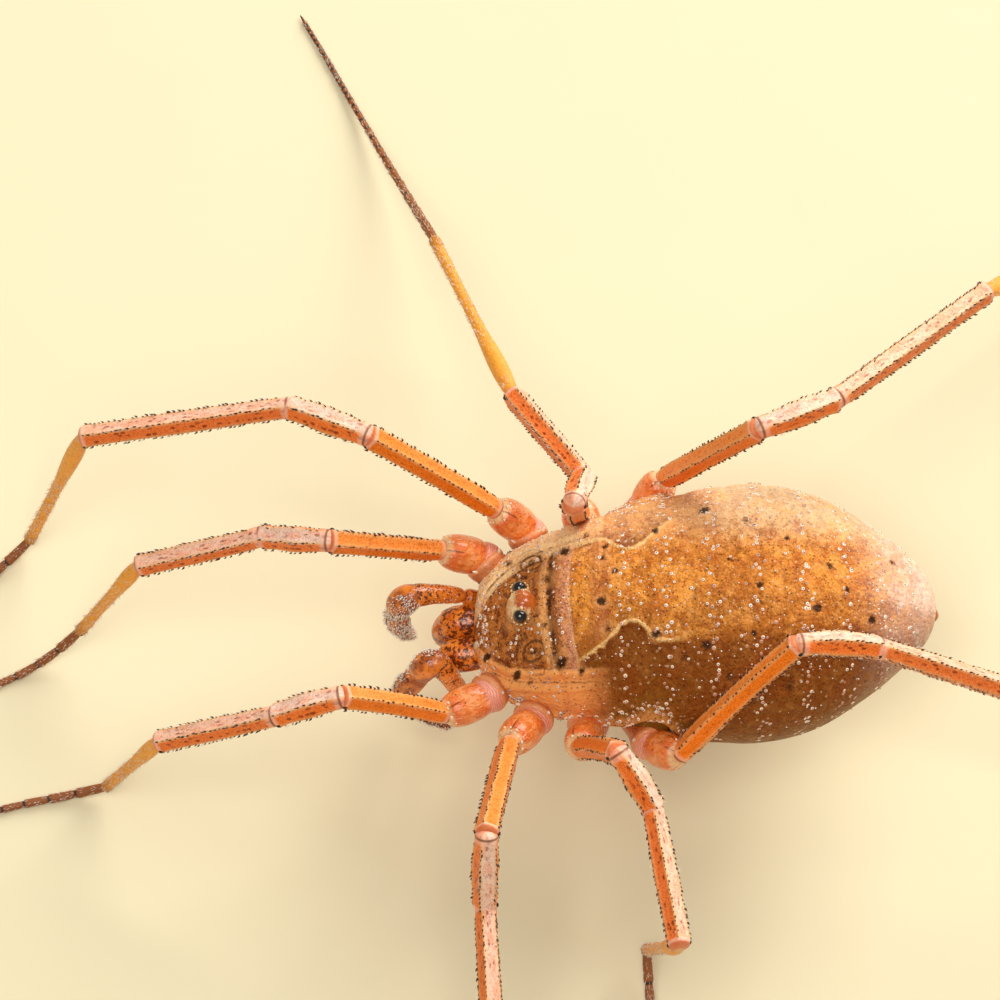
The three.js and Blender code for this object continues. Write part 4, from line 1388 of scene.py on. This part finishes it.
class HeadOperator(bpy.types.Operator):
    """Makes the eye mound with its eyes and small teeth, the jaws and the plates over them"""

    bl_idname = "harvestman.head"
    bl_label = "Head"

    def execute(self, context):
        looks = context.scene.harvestman_head
        self.mound(looks)
        form = spikes(20, 14, [at_level(place) for place in JAW_PLATES], (0.0, -0.25, 1.0), BACKWARDS,
                      0.3, 0.13, [(0.2, 0.2), (0.6, 0.6)], power=0.6)
        plate = horn_material("Plate over the jaws", shade(214, 206, 160), shade(226, 222, 184), 0.25)
        finished_piece("plates_over_jaws", form, plate)
        lens = lens_material(looks)
        for name, side in SIDES_OF_BODY.items():
            self.eye(name, side, lens)
            self.jaw(name, side, looks)
        return {"FINISHED"}

    def mound(self, looks):
        mesh, share, angle = ball(72, 48)
        polar = math.pi * (1 - share)
        x, y, z = np.sin(polar) * np.cos(angle), np.sin(polar) * np.sin(angle), np.cos(polar)
        points = np.stack([MOUND["radius"] * x, 0.92 * MOUND["radius"] * y, MOUND["height"] * z], axis=1)
        points[:, 2] -= 0.03 * hill(points[:, 0], 0.07) * step(z, 0.3, 0.9)
        centre = at_level((0.0, MOUND["along"], MOUND["level"]))
        points = points + centre
        eyes = [at_level(EYE_PLACE, side) for side in SIDES_OF_BODY.values()]
        near = np.minimum(*(np.linalg.norm(points - eye, axis=1) for eye in eyes)) - EYE_RADIUS
        points = points + unit(points - centre) * (0.03 * hill(near - 0.03, 0.03))[:, None]
        values = {"eye_distance": near, "height": points[:, 2] - centre[2] - 0.28, "front": -y}
        skin = mound_material(looks)
        finished_piece("eye_mound_skin", (points, [mesh], values), skin, ("eye_mound",))
        draw = np.random.default_rng(SEED)
        roots, outs = [], []
        for eye in eyes:
            axis = unit(eye - centre + np.array([0.0, 0.0, 0.02]))
            first = unit(np.cross(axis, [0.0, 1.0, 0.3]))
            second = np.cross(axis, first)
            for turn in np.linspace(0, TURN, 13)[:-1] + draw.normal(0, 0.08, 12):
                way = first * math.cos(turn) + second * math.sin(turn)
                roots.append(eye + way * (EYE_RADIUS + 0.015) - axis * 0.01)
                outs.append(way * 0.6 + axis * 0.5)
        uv = draw.random((len(roots), 2))
        form = spikes(6, 4, roots, outs, (0.1, 1.0, 0.2), 0.06, 0.024, uv, 0.1, 0.8)
        tooth = horn_material("Eye ring teeth", looks.ring, shade(50, 26, 16), 0.25, (0.55, 0.8))
        finished_piece("eye_ring_teeth", form, tooth)

    def eye(self, name, side, lens):
        mesh, share, angle = ball(40, 28)
        polar = math.pi * (1 - share)
        way = [np.cos(polar), np.sin(polar) * np.cos(angle), np.sin(polar) * np.sin(angle)]
        points = at_level(EYE_PLACE, side) + EYE_RADIUS * np.stack(way, axis=1)
        finished_piece(f"eye_{name}_lens", (points, [mesh], {}), lens, (f"eye_{name}",))

    def jaw(self, name, side, looks):
        across, end, level = JAW["across"], JAW["end"], JAW["level"]
        radius, low = JAW["radius"], JAW["level"] - JAW["hand"]
        paths = (
            ((across, JAW["start"], level - 0.1), (across, -4.0, level + 0.05), (across, end, level)),
            ((across, end + 0.06, level + 0.05), (across, end - 0.08, level - 0.4),
             (across, end - 0.05, low)),
        )
        upper, lower = (smooth_path([at_level(place, side) for place in path]) for path in paths)
        upper = Limb(upper, (0, 0, 1), (
            (0.0, 0.0), (0.02, 0.12), (0.2, 0.8 * radius), (0.5, 1.12 * radius), (0.8, 1.1 * radius),
            (1.0, 0.8 * radius), (1.1, 0.0)))
        lower = Limb(lower, (0.1, -1.0, 0.1), (
            (-0.16, 0.0), (-0.12, 0.14), (0.05, 0.9 * radius), (0.4, radius), (0.75, 0.75 * radius),
            (0.92, 0.4 * radius), (0.95, 0.0)))
        skin = netted_material(f"Jaw cuticle {name}", looks.jaw, looks.dark, 0.075, 0.6, 0.18)
        form = joined([upper.form(36, 40), lower.form(30, 36)])
        finished_piece(f"chelicera_{name}_skin", form, skin, (f"chelicera_{name}",))
        roots = [(across + 0.05, end - 0.1, low + 0.06), (across - 0.06, end + 0.04, low + 0.06)]
        form = spikes(10, 10, [at_level(root, side) for root in roots],
                      [(0.1 * side, 0.1, -1.0), (-0.15 * side, 0.2, -1.0)],
                      [(-side, 0.1, 0.0), (side, -0.1, 0.0)], (0.46, 0.42), (0.09, 0.08),
                      [(0.1, 0.1), (0.5, 0.5)], 0.25, 0.7)
        finger = horn_material(f"Jaw finger {name}", shade(200, 96, 30), shade(24, 10, 8), 0.2, (0.25, 0.6))
        finished_piece(f"jaw_fingers_{name}", form, finger)


class PalpsOperator(bpy.types.Operator):
    """Makes the palps and the dense bristles on their outer segments"""

    bl_idname = "harvestman.palps"
    bl_label = "Palps"

    def execute(self, context):
        looks = context.scene.harvestman_head
        skins = {
            "femur": netted_material("Palp cuticle", looks.palp, looks.dark, 0.045, 1.2),
            "tibia": netted_material("Outer palp cuticle", looks.palp_end, looks.dark, 0.045, 1.2),
        }
        forms = []
        for name, side in SIDES_OF_BODY.items():
            joints = [at_level(place) for place in PALP_JOINTS[name]]
            limbs = {}
            for (part, (bulge, _, profile)), start, end in zip(PALP_PARTS.items(), joints, joints[1:]):
                inner = part in ("hip", "femur")
                dorsal = (0.2 * side, -0.4, 1.0) if inner else (0.1 * side, -1.0, 0.6)
                path = smooth_path([start, (start + end) / 2 + bulge, end])
                limbs[part] = Limb(path, dorsal, stretched(profile, np.linalg.norm(end - start)))
            for piece, parts in (("femur", ("hip", "femur")), ("tibia", ("patella", "tibia", "tarsus"))):
                form = joined([limbs[part].form(*PALP_PARTS[part][1]) for part in parts])
                node = f"palp_{name}_{piece}"
                finished_piece(f"{node}_skin", form, skins[piece], (node,))
            forms += [self.bristles(limbs[part], side, *row) for part, row in PALP_BRISTLES.items()]
        pale = horn_material("Palp bristle", shade(120, 60, 24), looks.bristle, 0.3, (0.3, 0.55))
        finished_piece("palp_bristles", joined(forms), pale)
        return {"FINISHED"}

    def bristles(self, limb, side, count, start, inner, length):
        """Bristles where the skin faces the midline by more than the given amount."""
        draw = np.random.default_rng(SEED + count)
        along = limb.length * draw.uniform(start, 1.05, count)
        angle = draw.uniform(-math.pi, math.pi, count)
        points, out, line = limb.surface(along, angle, -0.008)
        kept = out @ np.array([-side, -0.3, 0.0]) > inner
        points, out, line, along, angle = (values[kept] for values in (points, out, line, along, angle))
        root_uv = np.stack([angle / TURN + 0.5, 0.8 * np.clip(along / limb.length, 0, 1.1)], axis=1)
        lengths = length * draw.uniform(0.7, 1.15, len(points))
        return spikes(4, 4, points, out + 0.35 * line, line + 0.1, lengths, 0.0088, root_uv, 0.2, 0.5)


class LegsOperator(bpy.types.Operator):
    """Makes the coxae and all segments of the eight legs"""

    bl_idname = "harvestman.legs"
    bl_label = "Legs"

    def execute(self, context):
        looks = context.scene.harvestman_legs
        self.coxae()
        # Each row: the side colour, the pale colour painted on the face lit by the key light, the looks, the
        # spot cell and the spot strengths on the sides and on the lit face.
        ridged = {
            "femur": (looks.femur, shade(255, 150, 64), looks, 0.085, 0.3, 0.35),
            "patella": (looks.patella, shade(255, 216, 196), looks, 0.1, 0.9, 0.6),
            "tibia": (looks.tibia, looks.pale, looks, 0.095, 0.9, 0.75),
        }
        skins = {kind: ridged_material(f"{kind.capitalize()} cuticle", *row) for kind, row in ridged.items()}
        skins["trochanter"] = trochanter_material(looks)
        skins["metatarsus"] = metatarsus_material(looks)
        skins["tarsus"] = tarsus_material(looks)
        for leg in LEGS:
            for kind, limb in leg.limbs.items():
                if kind == "tarsus":
                    form = limb.form(14, 8 * (len(leg.rings) + 1))
                    rings = np.array([-1.0, *leg.rings, 99.0])
                    nearest = np.abs(form[2]["from_root"][:, None] - rings).min(axis=1)
                    form[2]["ring"] = hill(nearest, 0.034)
                else:
                    form = limb.form(40 if CORNERS[kind] else 32, int(limb.length / 0.05) + 16)
                node = f"{leg.name}_{kind}"
                finished_piece(f"{node}_skin", form, skins[kind], (node,))
        return {"FINISHED"}

    def coxae(self):
        shells, skins, roots, axes, sizes = [], [], [], [], []
        for leg in LEGS:
            root, ring = at_level(COXA_ROOTS[leg.number], leg.side), leg.joints[0]
            line, length = unit(ring - root), np.linalg.norm(ring - root)
            path = [root + line * length * share for share in np.linspace(0, 1, 12)]
            shells.append(Limb(path, (0, 0.1, 1), stretched(COXA, length)).form(36, 36))
            way = unit(line + leg.limbs["trochanter"].lines[0])
            path = [ring - way * 0.3 + way * 0.42 * share for share in np.linspace(0, 1, 8)]
            skins.append(Limb(path, (0.05, 0.1, 1), stretched(COXA_SKIN, length)).form(40, 24))
            over = unit(np.cross(line, np.cross([0.0, 0.0, 1.0], line)))
            ahead = unit(np.cross(over, line)) * leg.side
            for turn in (-0.9, 0.7):
                way = over * math.cos(turn) + ahead * math.sin(turn)
                roots.append(ring - line * 0.17 + way * 0.33)
                axes.append(line * 0.8 + way * 0.9)
                sizes.append((0.15, 0.036))
        finished_piece("coxae", joined(shells), coxa_material())
        finished_piece("coxal_joint_skin", joined(skins), joint_skin_material())
        draw = np.random.default_rng(SEED)
        for leg in LEGS:
            first = leg.limbs["trochanter"]
            for inset, count in ((0.06, 10), (0.01, 14)):
                turns = draw.uniform(0, TURN, count)
                points, out, line = first.surface(np.full(count, first.length - inset), turns, -0.01)
                roots += list(points)
                axes += list(out + 0.5 * line)
                sizes += [(0.045 * scale, 0.026 * scale) for scale in draw.uniform(0.3, 1.1, count)]
        lengths, widths = np.array(sizes).T
        uv = draw.random((len(roots), 2))
        form = spikes(8, 6, roots, axes, (0.1, 0.2, 1.0), lengths, widths, uv, power=0.7)
        tooth = horn_material("Coxal tooth", shade(226, 164, 96), shade(255, 246, 226), 0.3, (0.2, 0.7))
        finished_piece("coxal_teeth", form, tooth)


class ArmourOperator(bpy.types.Operator):
    """Sets the teeth on the ridges of the legs, the fine hairs, the knee knobs and the claws"""

    bl_idname = "harvestman.armour"
    bl_label = "Teeth, hairs and claws"

    def execute(self, context):
        looks = context.scene.harvestman_legs
        tooth = horn_material("Leg tooth", looks.tooth, shade(70, 40, 26), 0.3)
        finished_piece("leg_teeth", self.teeth(looks), tooth)
        hair = horn_material("Leg hair", shade(200, 130, 70), shade(255, 246, 230), 0.3, (0.1, 0.5))
        for name, side in SIDES_OF_BODY.items():
            finished_piece(f"leg_hairs_{name}", self.hairs(looks, side), hair)
        knob = horn_material("Knee knob", shade(20, 10, 10), shade(30, 18, 18), 0.12)
        finished_piece("knee_knobs", self.knobs(), knob)
        claw = horn_material("Claw", shade(110, 60, 30), shade(36, 16, 8), 0.25)
        finished_piece("tarsal_claws", self.claws(), claw)
        return {"FINISHED"}

    def leg_uv(self, leg, along_share, angle):
        strip = LEGS.index(leg) / len(LEGS)
        return np.stack([strip + (np.asarray(angle) / TURN % 1.0) / len(LEGS), along_share], axis=1)

    def teeth(self, looks):
        draw = np.random.default_rng(SEED)
        height, gap = looks.tooth_height / MM, looks.tooth_step / MM
        forms = []
        for leg in LEGS:
            for order, kind in enumerate(("femur", "patella", "tibia")):
                limb, fine = leg.limbs[kind], 1.0 if kind == "femur" else 0.85
                count = int((limb.length - 0.3) / (gap * fine))
                for corner in range(limb.corners):
                    along = np.linspace(0.2, limb.length - 0.1, count) + draw.normal(0, 0.015, count)
                    angle = limb.first_corner + corner * TURN / limb.corners + draw.normal(0, 0.04, count)
                    points, out, line = limb.surface(along, angle, -0.015)
                    size = draw.uniform(0.55, 1.15, count) * fine
                    uv = self.leg_uv(leg, (order + along / limb.length) / 4, angle)
                    forms.append(spikes(4, 3, points, out + 1.15 * line, line, height * size, 0.025 * size,
                                        uv, 0.2))
        return joined(forms)

    def hairs(self, looks, side):
        draw = np.random.default_rng(SEED + side)
        length = looks.hair_length / MM
        forms = []
        for leg in (leg for leg in LEGS if leg.side == side):
            for order, (kind, per_mm) in enumerate(HAIRS.items()):
                limb = leg.limbs[kind]
                count = int(per_mm * limb.length)
                along = draw.uniform(0.12, limb.length - 0.03, count)
                angle = draw.uniform(0, TURN, count)
                if limb.corners:
                    near = np.round(angle / TURN * limb.corners) * TURN / limb.corners
                    angle = limb.first_corner + near + draw.normal(0, 0.1, count)
                points, out, line = limb.surface(along, angle, -0.006)
                above = points[:, 2] + out[:, 2] * length > 0.01
                points, out, line, angle, along = (v[above] for v in (points, out, line, angle, along))
                size = draw.uniform(0.6, 1.15, len(points)) * (0.8 if kind == "tarsus" else 1.0)
                uv = self.leg_uv(leg, (order + along / limb.length) / len(HAIRS), angle)
                forms.append(spikes(3, 4, points, out + 0.8 * line, line, length * size, 0.0055, uv,
                                    0.3, 0.8))
        return joined(forms)

    def knobs(self):
        roots, ways, sizes, uvs = [], [], [], []
        for leg in LEGS:
            first, strip = leg.limbs["trochanter"], LEGS.index(leg) / len(LEGS)
            roots.append(leg.joints[1] - first.lines[-1] * 0.08 + first.dorsal * 0.22)
            ways.append(first.dorsal)
            sizes.append(0.05)
            uvs.append((strip + 0.03, 0.05))
            for joint, kind in enumerate(KINDS[1:], 2):
                limb = leg.limbs[kind]
                radius = float(limb.radius(np.array([limb.length - 0.05]))[0])
                for way in (1, -1):
                    out = leg.hinges[joint - 1] * way
                    roots.append(leg.joints[joint] - limb.lines[-1] * 0.03 + out * (radius * 0.78))
                    ways.append(out)
                    sizes.append(0.055 if radius > 0.15 else 0.03)
                    uvs.append((strip + 0.02 * way + 0.03, joint / 8))
        sizes = np.array(sizes)
        return spikes(12, 8, roots, ways, (0.1, 0.2, 1.0), sizes * 1.1, sizes, uvs, power=0.5)

    def claws(self):
        ends = [leg.limbs["tarsus"] for leg in LEGS]
        ways = np.array([limb.lines[-1] for limb in ends]) + (0.0, 0.0, 0.45)
        uv = np.stack([np.linspace(0.1, 0.9, len(ends))] * 2, axis=1)
        roots = [limb.path[-1] for limb in ends]
        return spikes(8, 10, roots, ways, (0.0, 0.0, -1.0), 0.15, 0.026, uv, 0.45, 0.8)


class HarvestmanPanel(bpy.types.Panel):
    bl_label = "Harvestman"
    bl_idname = "VIEW3D_PT_harvestman"
    bl_space_type = "VIEW_3D"
    bl_region_type = "UI"
    bl_category = "Harvestman"

    def draw(self, context):
        for operator in OPERATORS:
            self.layout.operator(operator.bl_idname)
        for name in LOOKS:
            looks = getattr(context.scene, name)
            box = self.layout.box()
            for key in looks.__annotations__:
                box.prop(looks, key)


OPERATORS = (
    StageOperator, BodyOperator, GranulesOperator, HeadOperator, PalpsOperator, LegsOperator,
    ArmourOperator,
)
LOOKS = {
    "harvestman_body": BodyLooks,
    "harvestman_legs": LegLooks,
    "harvestman_head": HeadLooks,
    "harvestman_stage": StageLooks,
}
CLASSES = (*LOOKS.values(), *OPERATORS, HarvestmanPanel)


def register():
    for cls in CLASSES:
        bpy.utils.register_class(cls)
    for name, group in LOOKS.items():
        setattr(bpy.types.Scene, name, bpy.props.PointerProperty(type=group))


def unregister():
    for name in LOOKS:
        delattr(bpy.types.Scene, name)
    for cls in reversed(CLASSES):
        bpy.utils.unregister_class(cls)


def main():
    register()
    for operator in OPERATORS:
        group, name = operator.bl_idname.split(".")
        getattr(getattr(bpy.ops, group), name)()
    for mesh, *_ in BALLS.values():
        bpy.data.meshes.remove(mesh)


if __name__ == "__main__":
    main()
